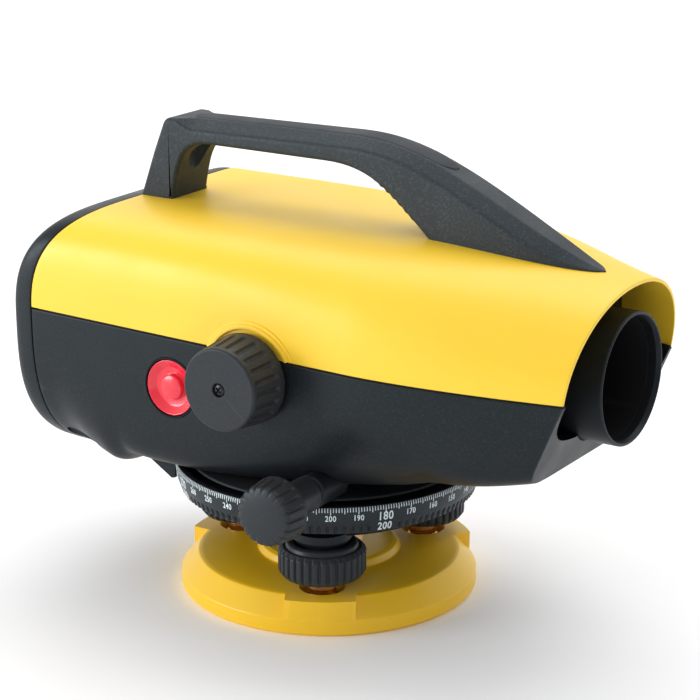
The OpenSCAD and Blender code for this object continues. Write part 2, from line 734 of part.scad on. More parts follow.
module trigger_button() {
    color([0.94, 0.2, 0.3]) translate([TRIGGER[0], 0, TRIGGER[1]]) rotate([90, 0, 0])
        rotate_extrude() polygon([[0, 46.6], [9.7, 46.6], [9.7, 52.2], [8.8, 51.4],
            [6.6, 50.2], [4.2, 49.7], [4, 51.6], [3.4, 52.1], [0, 52.2]]);
}

module key(i) {
    color([0.3, 0.31, 0.33]) {
        rod_x(PANEL_X - 1.2, PANEL_X + 2.6, 4.4, KEY_SPOTS[i][0], KEY_SPOTS[i][1]);
        rod_x(PANEL_X + 2.8, PANEL_X + 3.6, 5.2, KEY_SPOTS[i][0], KEY_SPOTS[i][1]);
        rod_x(PANEL_X + 2.5, PANEL_X + 2.9, 4.4, KEY_SPOTS[i][0], KEY_SPOTS[i][1]);
    }
}

module dioptre_ring() {
    color([0.14, 0.15, 0.17]) turned_x([[EYE_X, 8], [EYE_X, 13.6], [EYE_X + 1, 15],
        [EYE_X + 2, 15.2], [EYE_X + 2.4, 14.6], [-99.5, 15], [-99.5, 12.8 + RUN],
        [-104.2, 12.8 + RUN], [-104.2, 8]]);
}

module eyepiece_lens() {
    color([0.7, 0.8, 0.85, 0.5]) rod_x(-106.2, -104, 8);
}

module compensator_pendulum() {
    color("burlywood") {
        rod_y(-15, 15, 1, -30, 110);
        difference() {
            bar([-39, -21], [-11, 11], [84, 106]);
            rod_x(-40, -35, 9);
            rod_x(-25, -20, 9);
        }
        bar([-32, -28], [-9, 9], [105.5, 111]);
        bar([-32, -28], [-0.8, 0.8], [79, 84.5]);
    }
}

base_plate();
tripod_thread_insert();
spring_plate();
spring_plate_screws();
tribrach_body();
foot_screw_bushes();
axis_bush();
worm_wheel();
foot_knob(0);  // foot_knob_1
foot_knob(1);  // foot_knob_2
foot_knob(2);  // foot_knob_3
foot_spindle(0);  // foot_spindle_1
foot_spindle(1);  // foot_spindle_2
foot_spindle(2);  // foot_spindle_3
circle_ring();
standing_axis();
alidade_flange();
chassis();
lower_housing();
upper_housing();
parting_seal();
front_bulkhead();
telescope_tube();
objective_lens();
focus_sleeve();
compensator_frame();
damping_magnet();
beam_splitter();
reticle();
eyepiece_mount();
rear_cap();
control_panel();
display_window();
display_module();
circuit_boards();
battery_cells();
battery_holder();
handle();
handle_inlay();
level_housing();
level_vial();
drive_bushes();
trigger_bezel();
housing_screws();
focus_knob();
focus_knob_screw();
focus_shaft();
focus_cell();
focus_lens();
drive_knobs();
drive_shaft();
trigger_button();
key(0);  // key_1
key(1);  // key_2
key(2);  // key_3
key(3);  // key_4
dioptre_ring();
eyepiece_lens();
compensator_pendulum();
battery_door();
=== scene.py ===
"""Automatic level: the looks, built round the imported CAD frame. Lengths in this file are millimetres."""
import math

import bmesh
import bpy
import numpy as np
from mathutils import Matrix, Vector


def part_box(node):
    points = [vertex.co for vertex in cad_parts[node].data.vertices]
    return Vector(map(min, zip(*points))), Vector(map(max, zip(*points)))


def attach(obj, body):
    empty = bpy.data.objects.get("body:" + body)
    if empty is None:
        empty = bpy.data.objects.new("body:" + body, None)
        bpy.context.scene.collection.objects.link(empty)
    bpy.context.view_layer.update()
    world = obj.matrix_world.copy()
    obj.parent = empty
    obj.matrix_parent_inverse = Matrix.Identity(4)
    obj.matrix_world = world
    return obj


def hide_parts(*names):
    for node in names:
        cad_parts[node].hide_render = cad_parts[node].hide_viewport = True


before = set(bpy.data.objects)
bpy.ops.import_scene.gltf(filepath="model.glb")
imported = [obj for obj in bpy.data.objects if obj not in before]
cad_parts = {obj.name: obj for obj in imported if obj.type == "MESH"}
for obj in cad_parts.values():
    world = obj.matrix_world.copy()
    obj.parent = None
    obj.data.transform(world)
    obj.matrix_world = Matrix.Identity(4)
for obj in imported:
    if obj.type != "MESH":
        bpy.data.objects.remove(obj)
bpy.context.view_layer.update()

MM = 0.001
SCENE = bpy.context.scene


def span(node):
    """Lowest and highest corner of a CAD node, in millimetres."""
    lo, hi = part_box(node)
    return [c / MM for c in lo], [c / MM for c in hi]


def centre(node):
    lo, hi = span(node)
    return [(a + b) / 2 for a, b in zip(lo, hi)]


# ---- sizes, from the frame where it gives them ----
WALL = 2.4
GAP = 0.25
EDGE = 0.45                                   # rounding of the shells' outer edges
REAR_X = -89.4                                # joint between the shells and the rear cap
NOSE_X = 111.6
BODY_HW = 52.0
BODY_TOP = 132.8
NOSE_HW = 39.25
NOSE_TOP = 126.2
HEEL_Z, BELLY_Z, BELLY_SLOPE, BELLY_X = 43.0, 48.3, 0.2, 28.0
LEAN_TOP, LEAN_LOW, RAKE_TOP, RAKE_LOW = 17.0, 6.0, 0.16, 0.42
SIGHT_Z = centre("telescope_tube")[2]
TUBE_FRONT, TUBE_R, _ = span("telescope_tube")[1]
BASE_R = span("base_plate")[1][1]
BASE_TOP = 12.6
LUG_R, LUG_HW = BASE_R - 0.2, 12
(_, _, RING_LO), (_, RING_R, RING_TOP) = span("circle_ring")
RING_KNEE = 45.9
FOCUS_X, _, FOCUS_Z = centre("focus_knob")
FOCUS_FACE, FOCUS_BACK = (corner[1] for corner in span("focus_knob"))
DRIVE_X, _, DRIVE_Z = centre("drive_knobs")
DRIVE_FACE = span("drive_knobs")[1][1]
TRIGGER_X, _, TRIGGER_Z = centre("trigger_button")
PANEL_X = span("control_panel")[0][0]
PANEL_HW = span("control_panel")[1][1]
PANEL_Z = centre("control_panel")[2]
PANEL_HH = span("control_panel")[1][2] - PANEL_Z
EYE_X = span("dioptre_ring")[0][0]
FOOT_ANGLES = (-60, 60, 180)
FOOT_PITCH = 38.0
DOOR_LO, DOOR_HI = span("battery_door")


# ---- shape rules of the body, the same as the CAD shells' ----
def ramp(x, a, b):
    return min(1.0, max(0.0, (x - a) / (b - a)))


def smooth(t):
    return t * t * (3 - 2 * t)


def mix(a, b, t):
    return a + (b - a) * t


def split_z(x):
    return 95 + 0.018 * (NOSE_X - x)


def half_w(x):
    return BODY_HW - (BODY_HW - NOSE_HW) * ramp(x, 40, NOSE_X) ** 1.6


def top_z(x):
    return BODY_TOP - (BODY_TOP - NOSE_TOP) * ramp(x, 40, NOSE_X) ** 2


def bottom_z(x):
    return mix(HEEL_Z, BELLY_Z, smooth(ramp(x, -64, -53))) + BELLY_SLOPE * max(0, x - BELLY_X)


def power(x, side, left):
    """How boxy the cross-section is: 2 is an ellipse. The left shoulder is fuller than the right."""
    if side > 0:
        rear, start = (12.0, -45) if left else (5.0, -60)
        return mix(rear, 2.15, smooth(ramp(x, start, NOSE_X)))
    middle = smooth(ramp(x, -84, -40)) * (1 - smooth(ramp(x, -30, 28)))
    return 3.4 + 5.4 * middle + 4.6 * smooth(ramp(x, 62, NOSE_X))


def wall_at(x, side):
    """Wall thickness; the hood thins towards its front edge."""
    return mix(WALL, 1.2, smooth(ramp(x, NOSE_X - 16, NOSE_X))) if side > 0 else WALL


def end_shift(x, z):
    """How far the leaning rear joint and the raked front edge move a point along X."""
    up = z - split_z(REAR_X)
    lean = (LEAN_TOP * (up / (BODY_TOP - split_z(REAR_X))) ** 2.2 if up > 0
            else LEAN_LOW * (-up / (split_z(REAR_X) - HEEL_Z)) ** 3)
    rake = RAKE_TOP if z > split_z(x) else RAKE_LOW
    return lean * (1 - ramp(x, REAR_X, -30)) + rake * (z - split_z(x)) * ramp(x, 50, NOSE_X)


def section(x, angle, inset, side):
    """(y, z) on the body's cross-section at station x. side is 1 for the upper shell, -1 for the lower."""
    w = half_w(x) - inset
    h = (top_z(x) - split_z(x) if side > 0 else split_z(x) - bottom_z(x)) - inset
    c, s = math.cos(angle), math.sin(angle)
    n = power(x, side, c > 0)
    r = ((abs(c) / w) ** n + (abs(s) / h) ** n) ** (-1 / n)
    return r * c, split_z(x) + side * (r * s + GAP)


def body_point(x, y, z):
    return x + end_shift(x, z), y, z


# ---- mesh tools: a solid is (vertices, faces) ----
def rounded(points, steps=5):
    """An open outline, where a third number rounds that corner with that radius."""
    out = []
    for i, p in enumerate(points):
        if len(p) < 3:
            out.append((p[0], p[1]))
            continue
        b = np.array(p[:2])
        u = np.array(points[i - 1][:2]) - b
        v = np.array(points[i + 1][:2]) - b
        u, v = u / np.linalg.norm(u), v / np.linalg.norm(v)
        half = math.acos(np.clip(u @ v, -1, 1)) / 2
        mid = b + (u + v) / np.linalg.norm(u + v) * p[2] / math.sin(half)
        start, end = b + u * p[2] / math.tan(half) - mid, b + v * p[2] / math.tan(half) - mid
        turn = math.pi - 2 * half
        for k in range(steps + 1):
            t = k / steps
            q = (start * math.sin((1 - t) * turn) + end * math.sin(t * turn)) / math.sin(turn)
            out.append(tuple(mid + q))
    return out


def bezier(p, steps):
    t = np.linspace(0, 1, steps + 1)[:, None]
    p = np.array(p, float)
    return (1 - t) ** 3 * p[0] + 3 * t * (1 - t) ** 2 * p[1] + 3 * t * t * (1 - t) * p[2] + t ** 3 * p[3]


def skin(rings, closed=False):
    """Quads through rings of equal length; open ends get a flat cap."""
    m, n = len(rings), len(rings[0])
    faces = [(k * n + j, k * n + (j + 1) % n, (k + 1) % m * n + (j + 1) % n, (k + 1) % m * n + j)
             for k in range(m if closed else m - 1) for j in range(n)]
    if not closed:
        faces += [tuple(range(n)), tuple(range((m - 1) * n, m * n))]
    return np.concatenate([np.array(r, float) for r in rings]), faces


def lathe(profile, segs=96, wave=None, closed=False):
    """Turns (radius, height) points about Z; wave(r, h, angles) may shape each ring."""
    angles = np.arange(segs) * 2 * math.pi / segs
    rings = []
    for r, h in profile:
        radii = np.full(segs, max(r, 0.01)) if wave is None else wave(r, h, angles)
        rings.append(np.stack([radii * np.cos(angles), radii * np.sin(angles),
                               np.full(segs, float(h))], 1))
    return skin(rings, closed)


def block(lo, hi):
    (x0, y0, z0), (x1, y1, z1) = lo, hi
    return skin([[(x0, y0, z), (x1, y0, z), (x1, y1, z), (x0, y1, z)] for z in (z0, z1)])


def placed(solid, matrix):
    verts, faces = solid
    m = np.array(matrix)
    return verts @ m[:3, :3].T + m[:3, 3], faces


def joined(*solids):
    verts, faces, start = [], [], 0
    for v, f in solids:
        verts.append(v)
        faces += [tuple(i + start for i in face) for face in f]
        start += len(v)
    return np.concatenate(verts), faces


def along_x(x=0.0, y=0.0, z=SIGHT_Z):
    """Puts a turned solid's height along +X."""
    return Matrix(((0, 0, 1, x), (0, 1, 0, y), (-1, 0, 0, z), (0, 0, 0, 1)))


def along_y(x, z, sign=1):
    """Puts a turned solid's height along +Y or -Y."""
    return Matrix(((1, 0, 0, x), (0, 0, sign, 0), (0, -sign, 0, z), (0, 0, 0, 1)))


def at_foot(i):
    return Matrix.Rotation(math.radians(FOOT_ANGLES[i]), 4, "Z") @ Matrix.Translation((FOOT_PITCH, 0, 0))


def linked(name, data):
    obj = bpy.data.objects.new(name, data)
    SCENE.collection.objects.link(obj)
    return obj


def mesh_object(name, solid):
    verts, faces = solid
    mesh = bpy.data.meshes.new(name)
    mesh.from_pydata((np.asarray(verts) * MM).tolist(), [], faces)
    bm = bmesh.new()
    bm.from_mesh(mesh)
    bmesh.ops.remove_doubles(bm, verts=bm.verts, dist=1e-7)
    bmesh.ops.recalc_face_normals(bm, faces=bm.faces)
    bm.to_mesh(mesh)
    bm.free()
    return linked(name, mesh)


def bake(obj):
    """Applies the modifiers."""
    mesh = bpy.data.meshes.new_from_object(obj.evaluated_get(bpy.context.evaluated_depsgraph_get()))
    obj.modifiers.clear()
    obj.data = mesh


def carve(obj, solid, operation="DIFFERENCE"):
    tool = mesh_object("tool", solid)
    mod = obj.modifiers.new("carve", "BOOLEAN")
    mod.object, mod.operation, mod.solver = tool, operation, "EXACT"
    mod.use_self = False
    bake(obj)
    bpy.data.objects.remove(tool)


def finish(obj, body, look, slot, replaces=(), bevel=0.0, segments=2, sharp=32):
    """Smooth shading, a bevelled edge, the material and the body that the piece rides on."""
    mesh = obj.data
    mesh.materials.clear()
    mesh.materials.append(look)
    mesh.polygons.foreach_set("use_smooth", [True] * len(mesh.polygons))
    if bevel:
        mod = obj.modifiers.new("bevel", "BEVEL")
        mod.width, mod.segments, mod.limit_method = bevel * MM, segments, "ANGLE"
        mod.angle_limit = math.radians(sharp)
        bake(obj)
        mesh = obj.data
        mesh.polygons.foreach_set("use_smooth", [True] * len(mesh.polygons))
    mesh.set_sharp_from_angle(angle=math.radians(sharp))
    obj.modifiers.new("normals", "WEIGHTED_NORMAL").keep_sharp = True
    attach(obj, body)
    if replaces:
        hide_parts(*replaces)
    return obj


def piece(name, solid, *args, **options):
    return finish(mesh_object(name, solid), *args, **options)


# ---- materials ----
def add_node(tree, kind, **inputs):
    """A shader node whose named inputs are set to values or linked to sockets."""
    made = tree.nodes.new(kind)
    for key, value in inputs.items():
        socket = made.inputs[key.replace("_", " ")]
        if isinstance(value, bpy.types.NodeSocket):
            tree.links.new(value, socket)
        else:
            socket.default_value = value
    return made


class Look:
    """A Principled material whose colour, roughness and relief come from noise in object space."""

    def __init__(self, name, colour, rough, metal=0.0):
        self.mat = bpy.data.materials.new(name)
        self.mat.use_nodes = True
        self.tree = self.mat.node_tree
        self.shader = self.tree.nodes["Principled BSDF"]
        self.set(Base_Color=(*colour, 1), Roughness=rough, Metallic=metal)
        self.coords = self.tree.nodes.new("ShaderNodeTexCoord").outputs["Object"]
        self.colour, self.relief = tuple(colour), None

    def node(self, kind, **inputs):
        return add_node(self.tree, kind, **inputs)

    def noise(self, scale, detail=3.0, stretch=(1, 1, 1)):
        mapped = self.node("ShaderNodeMapping", Vector=self.coords, Scale=stretch)
        return self.node("ShaderNodeTexNoise", Vector=mapped.outputs[0], Scale=scale,
                         Detail=detail).outputs[0]

    def fit(self, value, lo, hi, to_lo, to_hi):
        return self.node("ShaderNodeMapRange", Value=value, From_Min=lo, From_Max=hi, To_Min=to_lo,
                         To_Max=to_hi).outputs[0]

    def tint(self, mask, colour):
        """Mixes the colour so far towards another where mask is 1."""
        made = self.tree.nodes.new("ShaderNodeMix")
        made.data_type = "RGBA"
        self.tree.links.new(mask, made.inputs["Factor"])
        if isinstance(self.colour, tuple):
            made.inputs["A"].default_value = (*self.colour, 1)
        else:
            self.tree.links.new(self.colour, made.inputs["A"])
        made.inputs["B"].default_value = (*colour, 1)
        self.colour = made.outputs["Result"]
        self.tree.links.new(self.colour, self.shader.inputs["Base Color"])
        return self

    def mottle(self, scale, amount):
        """Faint darker clouds."""
        mask = self.fit(self.noise(scale), 0.35, 0.7, 0, 1)
        base = self.shader.inputs["Base Color"].default_value[:3]
        return self.tint(mask, tuple(c * (1 - amount) for c in base))

    def rough(self, scale, lo, hi, stretch=(1, 1, 1)):
        value = self.fit(self.noise(scale, 4.0, stretch), 0.3, 0.7, lo, hi)
        self.tree.links.new(value, self.shader.inputs["Roughness"])
        return self

    def bump(self, height, strength, distance):
        made = self.node("ShaderNodeBump", Height=height, Strength=strength, Distance=distance * MM)
        if self.relief is not None:
            self.tree.links.new(self.relief, made.inputs["Normal"])
        self.relief = made.outputs[0]
        self.tree.links.new(self.relief, self.shader.inputs["Normal"])
        return self

    def pitted(self, scale, strength, distance, detail=3.0):
        return self.bump(self.noise(scale, detail), strength, distance)

    def edge_wear(self, colour, amount):
        """Corners that hands and cases rub paler."""
        point = self.node("ShaderNodeNewGeometry").outputs["Pointiness"]
        mask = self.fit(point, 0.52, 0.62, 0, amount)
        return self.tint(mask, colour)

    def set(self, **values):
        for key, value in values.items():
            self.shader.inputs[key.replace("_", " ")].default_value = value
        return self


def painted(name, colour, rough=0.42):
    """Satin yellow moulding with a very fine texture."""
    look = Look(name, colour, rough).mottle(26, 0.035).rough(55, rough - 0.04, rough + 0.05)
    grain = look.noise(2600, 2.0)
    return look.bump(grain, 0.10, 0.03).edge_wear(tuple(min(1, c * 1.12 + 0.02) for c in colour), 0.35)


BLUISH = (0.74, 0.90, 1.0, 1.0)


def grained(name, colour, rough, grain_scale=1500, depth=0.08, glint_paint=0.35, shine=0.25):
    """Dark moulding with a spark-eroded grain whose peaks are painted paler, a painted glint for light
    caught by the grain.
    """
    look = Look(name, colour, rough)
    grain = look.noise(grain_scale, 2.5)
    # painted highlight: grain peaks tinted paler to stand in for glints of reflected light
    painted_glints = look.fit(grain, 0.52, 0.72, 0, glint_paint)
    look.tint(painted_glints, tuple(c * 2.4 + 0.014 for c in colour))
    look.tint(look.fit(look.noise(30), 0.4, 0.7, 0, 0.25), tuple(c * 0.75 for c in colour))
    look.rough(90, rough - 0.05, rough + 0.08)
    look.bump(grain, 0.5, depth)
    look.set(Specular_IOR_Level=shine, Specular_Tint=BLUISH)
    return look.edge_wear(tuple(c * 2 + 0.03 for c in colour), 0.3)


def turned_metal(name, colour, rough, axis=2, lines=900):
    stretch = [0.02, 0.02, 0.02]
    stretch[axis] = 1.0
    look = Look(name, colour, rough, 1.0).mottle(60, 0.25)
    look.rough(lines, rough - 0.08, rough + 0.1, stretch)
    return look.bump(look.noise(lines * 1.6, 2.0, stretch), 0.25, 0.03)


def make_looks():
    looks = {
        "yellow": painted("yellow_moulding", (0.95, 0.62, 0.035)),
        "base_yellow": painted("base_paint", (0.91, 0.55, 0.012), 0.38),
        "housing": grained("housing_moulding", (0.010, 0.012, 0.014), 0.38),
        "handle": grained("handle_moulding", (0.030, 0.035, 0.040), 0.48, 1300, 0.10, 0.45),
        "rubber": grained("soft_black", (0.022, 0.024, 0.028), 0.55, 2200, 0.04, 0.15),
        "knob": grained("knob_moulding", (0.026, 0.028, 0.031), 0.40, 2400, 0.04, 0.25),
        "dial": grained("dial_moulding", (0.012, 0.014, 0.017), 0.34, 3000, 0.02, 0.15, 0.4),
        "tube": grained("tube_finish", (0.008, 0.009, 0.010), 0.42, 3200, 0.02, 0.10),
        "baffle": grained("baffle_black", (0.004, 0.004, 0.005), 0.8, 1600, 0.05, 0.05, 0.05),
        "marks": Look("dial_print", (0.72, 0.82, 0.86), 0.55).mottle(400, 0.12).rough(300, 0.5, 0.65),
        "red": Look("red_button", (0.83, 0.018, 0.045), 0.24).mottle(70, 0.06)
        .rough(120, 0.2, 0.3).set(Coat_Weight=0.35, Coat_Roughness=0.15),
        "brass": turned_metal("brass_turned", (0.78, 0.46, 0.18), 0.26),
        "steel": turned_metal("steel_turned", (0.60, 0.61, 0.62), 0.28, 1),
        "spring_steel": turned_metal("spring_steel_sheet", (0.52, 0.53, 0.54), 0.34, 0, 500),
        "screw": turned_metal("screw_blackened", (0.05, 0.052, 0.055), 0.35, 1),
        "alloy": Look("cast_alloy_grey", (0.36, 0.37, 0.38), 0.5, 0.85).mottle(45, 0.2)
        .rough(70, 0.42, 0.6).pitted(700, 0.3, 0.06),
        "cell": Look("cell_sleeve", (0.10, 0.22, 0.10), 0.35).mottle(40, 0.2).rough(80, 0.3, 0.42),
        "board": Look("circuit_green", (0.02, 0.14, 0.06), 0.4).mottle(300, 0.5)
        .rough(200, 0.3, 0.5).pitted(420, 0.3, 0.1, 1.0),
        "seal": grained("seal_rubber", (0.006, 0.006, 0.007), 0.7, 1800, 0.03, 0.05),
        "magnet": Look("magnet_plated", (0.55, 0.55, 0.56), 0.3, 1.0).mottle(90, 0.2)
        .rough(120, 0.25, 0.4),
        "glass": Look("coated_glass", (0.80, 0.93, 0.90), 0.02).mottle(20, 0.04)
        .rough(40, 0.0, 0.03).set(Transmission_Weight=1.0, IOR=1.52),
        "window": Look("window_acrylic", (0.55, 0.62, 0.58), 0.08).mottle(30, 0.06)
        .rough(60, 0.05, 0.12).set(Transmission_Weight=0.9, IOR=1.49),
        "lcd": Look("lcd_face", (0.33, 0.40, 0.33), 0.3).mottle(500, 0.08).rough(90, 0.25, 0.35),
        "segment": Look("lcd_segments", (0.05, 0.07, 0.06), 0.4).mottle(300, 0.2)
        .rough(200, 0.35, 0.5),
        "fluid": Look("vial_fluid", (0.55, 0.85, 0.12), 0.03).mottle(60, 0.08)
        .rough(50, 0.01, 0.05).set(Transmission_Weight=0.75, IOR=1.36),
        "key": grained("key_rubber", (0.07, 0.075, 0.08), 0.5, 2000, 0.04, 0.2),
    }
    return {key: look.mat for key, look in looks.items()}


LOOKS = make_looks()
BLACK = ("alidade", LOOKS["housing"], "dark_plastic")


# ---- base ----
def make_base_plate():
    profile = rounded([(15, 0), (17, 0), (17, 2.2), (46, 2.2), (46, 0), (BASE_R - 1, 0),
                       (BASE_R, 1, 0.6), (BASE_R, 5.6, 1.0), (46.4, BASE_TOP - 0.4, 1.2), (44.6, BASE_TOP),
                       (25.2, BASE_TOP, 0.8), (24.2, 14.8, 0.9), (22.8, 15.4, 0.6), (12, 15.4),
                       (12, 1.5), (15, 1.5)], 4)
    obj = mesh_object("base_plate_finished", lathe(profile, 240, closed=True))
    half = math.asin(LUG_HW / LUG_R)
    arc = [(LUG_R * math.cos(t), LUG_R * math.sin(t)) for t in np.linspace(-half, half, 17)]
    lug = skin([[(x, y, z) for x, y in [(41, -LUG_HW)] + arc + [(41, LUG_HW)]] for z in (2.6, BASE_TOP)])
    carve(obj, joined(*[placed(lug, Matrix.Rotation(math.radians(a), 4, "Z")) for a in FOOT_ANGLES]),
          "UNION")
    holes = [placed(lathe([(8, 4.2), (8, 16)], 64), at_foot(i)) for i in range(3)]
    holes += [placed(lathe([(2.95, 1), (2.95, 5)], 32), at_foot(i)) for i in range(3)]
    carve(obj, joined(*holes))
    finish(obj, "base", LOOKS["base_yellow"], "yellow_plastic", ("base_plate",), 0.55, 3)


def make_foot(i):
    body = f"foot_screw_{i + 1}"
    ribs = 32
    lo, hi = (box[2] for box in span(f"foot_knob_{i + 1}"))

    def wave(r, h, angles):
        depth = 0.75 * smooth(ramp(h, lo + 0.2, lo + 1.8)) * smooth(ramp(hi - h, 1.6, 2.5))
        groove = np.clip(np.cos(angles * ribs) * 1.6 - 0.35, 0, 1) ** 0.8
        return r - depth * ramp(r, 13.4, 14.6) * groove

    profile = rounded([(4.45, lo + 0.1), (11, lo), (13.4, lo + 0.5, 1.5), (15, lo + 2.5, 1.2),
                       (15, hi - 3, 0.9), (13.4, hi - 1.5, 0.8), (12.4, hi - 1.6, 0.2), (11.9, hi, 1.0),
                       (9.7, hi, 0.9), (9.1, hi - 1.2, 0.3), (4.45, hi - 1.2)], 5)
    knob = lathe(profile, ribs * 10, wave, closed=True)
    piece(f"foot_knob_{i + 1}_finished", placed(knob, at_foot(i)), body, LOOKS["knob"],
          "knob_plastic", (f"foot_knob_{i + 1}",), sharp=50)
    pitch, thread = 0.5, []
    for k in range(int((35.8 - hi + 1) / pitch)):
        thread += [(3.98, hi - 1 + k * pitch), (3.74, hi - 1 + (k + 0.5) * pitch)]
    spindle = rounded([(0, 0.3), (4.4, 0.3), (4.4, 0.85), (2.9, 0.95), (2.9, 4.5), (6.4, 4.5, 0.3),
                       (7, 5.3, 0.3), (7, 8.1, 0.5), (5.8, 9.6, 0.5), (5.6, 10.6), (4.7, 11.0, 0.2),
                       (4.7, 12.4, 0.2), (5.2, 12.8, 0.2), (5.2, lo), (4.4, lo), (4.4, hi - 1.1)]
                      + thread + [(3.6, 35.8), (0, 35.9)], 4)
    piece(f"foot_spindle_{i + 1}_finished", placed(lathe(spindle, 64), at_foot(i)), body,
          LOOKS["brass"], "brass", (f"foot_spindle_{i + 1}",), sharp=28)


def make_feet():
    for i in range(3):
        make_foot(i)


def make_tribrach():
    disc = rounded([(11, 28.6), (24.5, 28.6, 0.6), (24.5, 33), (44, 33, 0.6), (46.3, 36, 0.6),
                    (24, 36.2), (24, 45), (13.5, 45), (13.5, 51), (11, 51)], 4)
    obj = mesh_object("tribrach_finished", lathe(disc, 160, closed=True))
    necks = [placed(lathe(rounded([(0, 29.8), (9.2, 29.8, 0.8), (10.2, 31.2, 0.6), (10.2, 34),
                                   (0, 34)], 4), 64), at_foot(i)) for i in range(3)]
    carve(obj, joined(*necks), "UNION")
    carve(obj, joined(*[placed(lathe([(6, 20), (6, 40)], 48), at_foot(i)) for i in range(3)]))
    finish(obj, "base", LOOKS["housing"], "dark_plastic", ("tribrach_body",), 0.2)


BIG_LABELS = (0, 90, 180, 270)
LABEL_180_AT = -35.9                          # degrees from +X
TICK_TOP, TICK_WIDTH = 46.7, 0.27
GLYPH_NARROWING = 0.82


def dial_radius(z):
    """Radius of the graduated band at height z."""
    return np.interp(z, [38.4, 41.6, 45.6, RING_KNEE, 46.9], [52.4, 53.5, RING_R, RING_R, 53.5])


def dial_angle(degrees):
    """Where a graduation stands: 180 looks towards the near front, and numbers fall to the right."""
    return math.radians(LABEL_180_AT - (degrees - 180))


def make_circle():
    ribs = 120

    def wave(r, h, angles):
        band = smooth(ramp(h, 36.7, 37.3)) * (1 - smooth(ramp(h, 39.3, 40.0))) * ramp(r, 50.2, 51)
        near = np.ones_like(angles)
        for label in BIG_LABELS:
            off = (angles - dial_angle(label) + math.pi) % (2 * math.pi) - math.pi
            near *= np.clip((np.abs(off) - math.radians(5.2)) / math.radians(0.5), 0, 1)
        groove = np.clip(np.cos(angles * ribs) * 1.8 - 0.1, 0, 1)
        return r - 0.62 * band * groove * near

    profile = rounded([(24.1, 40.4), (28, 40.4, 0.3), (28, 42.8), (49.4, 42.8), (49.4, 38.6),
                       (48.4, RING_LO, 0.4), (50.8, RING_LO, 0.4), (51.9, 37.0)]
                      + [(float(dial_radius(z)) - (0.35 if z < 38.3 else 0), z)
                         for z in (37.6, 38.4, 39.0, 39.4, 39.8, 40.2, 41, 42, 43, 44, 45)]
                      + [(RING_R, RING_KNEE, 0.3), (53.5, RING_TOP, 0.15), (51.8, RING_TOP, 0.3),
                         (51, 46.2, 0.3), (50.4, 44.8), (24.1, 44.8)], 4)
    piece("graduated_ring_finished", lathe(profile, ribs * 9, wave, closed=True), "circle",
          LOOKS["dial"], "black_anodised", ("circle_ring",), sharp=40)


def on_dial(verts_2d, degrees, z_mid, depth=0.07):
    """Wraps flat (across, up) points round the ring, as inner and outer points."""
    out = []
    for lift in (-depth, depth):
        for across, up in verts_2d:
            z = z_mid + up
            r = float(dial_radius(z)) + lift
            a = dial_angle(degrees) + across / RING_R
            out.append((r * math.cos(a), r * math.sin(a), z))
    return np.array(out)


def tick(degrees, length):
    w, z0 = TICK_WIDTH / 2, TICK_TOP - length
    flat = [(-w, z0), (w, z0), (w, RING_KNEE), (w, TICK_TOP), (-w, TICK_TOP), (-w, RING_KNEE)]
    sides = [(k, k + 6, (k + 1) % 6 + 6, (k + 1) % 6) for k in range(6)]
    inner, outer = [(0, 1, 2, 5), (5, 2, 3, 4)], [(11, 8, 7, 6), (10, 9, 8, 11)]
    return on_dial(flat, degrees, 0), inner + outer + sides


def glyphs(text, size):
    """The flat outline mesh of a number in Blender's own font, in millimetres about its centre."""
    curve = bpy.data.curves.new("number", "FONT")
    curve.body, curve.size = text, size
    curve.align_x = curve.align_y = "CENTER"
    curve.resolution_u, curve.offset, curve.space_character = 3, 0.016 * size, 1.08
    obj = linked("number", curve)
    mesh = bpy.data.meshes.new_from_object(obj.evaluated_get(bpy.context.evaluated_depsgraph_get()))
    bpy.data.objects.remove(obj)
    bm = bmesh.new()
    bm.from_mesh(mesh)
    bmesh.ops.remove_doubles(bm, verts=bm.verts, dist=1e-5)
    bm.verts.index_update()
    points = [(GLYPH_NARROWING * v.co.x, v.co.y) for v in bm.verts]
    faces = [tuple(v.index for v in f.verts) for f in bm.faces]
    rim = [(e.verts[0].index, e.verts[1].index) for e in bm.edges if len(e.link_faces) == 1]
    bm.free()
    return points, faces, rim


def number(text, degrees, z_mid, size):
    """A number wrapped round the ring as a thin closed solid."""
    points, faces, rim = glyphs(text, size)
    n = len(points)
    solid = [tuple(i + n for i in f) for f in faces] + [tuple(reversed(f)) for f in faces]
    return on_dial(points, degrees, z_mid), solid + [(a, b, b + n, a + n) for a, b in rim]


def make_dial_marks():
    marks = []
    for d in range(360):
        length = 2.3 if d % 10 == 0 else 2.0 if d % 5 == 0 else 1.45
        marks.append(tick(d, length))
    for d in range(0, 360, 10):
        if d in BIG_LABELS:
            marks.append(number(str(d or 360), d, 42.75, 4.3))
            marks.append(number(str((d or 360) * 10 // 9), d, 38.9, 4.0))
        else:
            marks.append(number(str(d), d, 42.95, 2.9))
    obj = mesh_object("circle_marks", joined(*marks))
    obj.data.materials.append(LOOKS["marks"])
    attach(obj, "circle")


def make_flange():
    profile = rounded([(14.5, 47.3), (49.2, 47.3, 0.3), (48.6, 48.2, 0.3), (14.5, 48.2)], 4)
    piece("alidade_flange_finished", lathe(profile, 160, closed=True), "alidade", LOOKS["rubber"],
          "dark_plastic", ("alidade_flange",))


# ---- shells ----
def shell_loop(x, side, bite, steps):
    """Closed loop round a shell's wall at station x; bite is how much the end's rounding takes."""
    w, z0 = half_w(x) - bite, split_z(x) + side * GAP
    first = math.asin(EDGE / w)
    corner = [(w - EDGE + EDGE * math.cos(t), z0 + side * EDGE * (1 - math.sin(t)))
              for t in np.linspace(math.pi / 2, 0, 5)[:-1]]
    outer = [section(x, a, bite, side) for a in np.linspace(first, math.pi - first, steps)]
    far = [(-y, z) for y, z in reversed(corner)]
    inner = [section(x, a, wall_at(x, side), side) for a in np.linspace(math.pi, 0, steps + 8)]
    return [body_point(x, y, z) for y, z in corner + outer + far + inner]


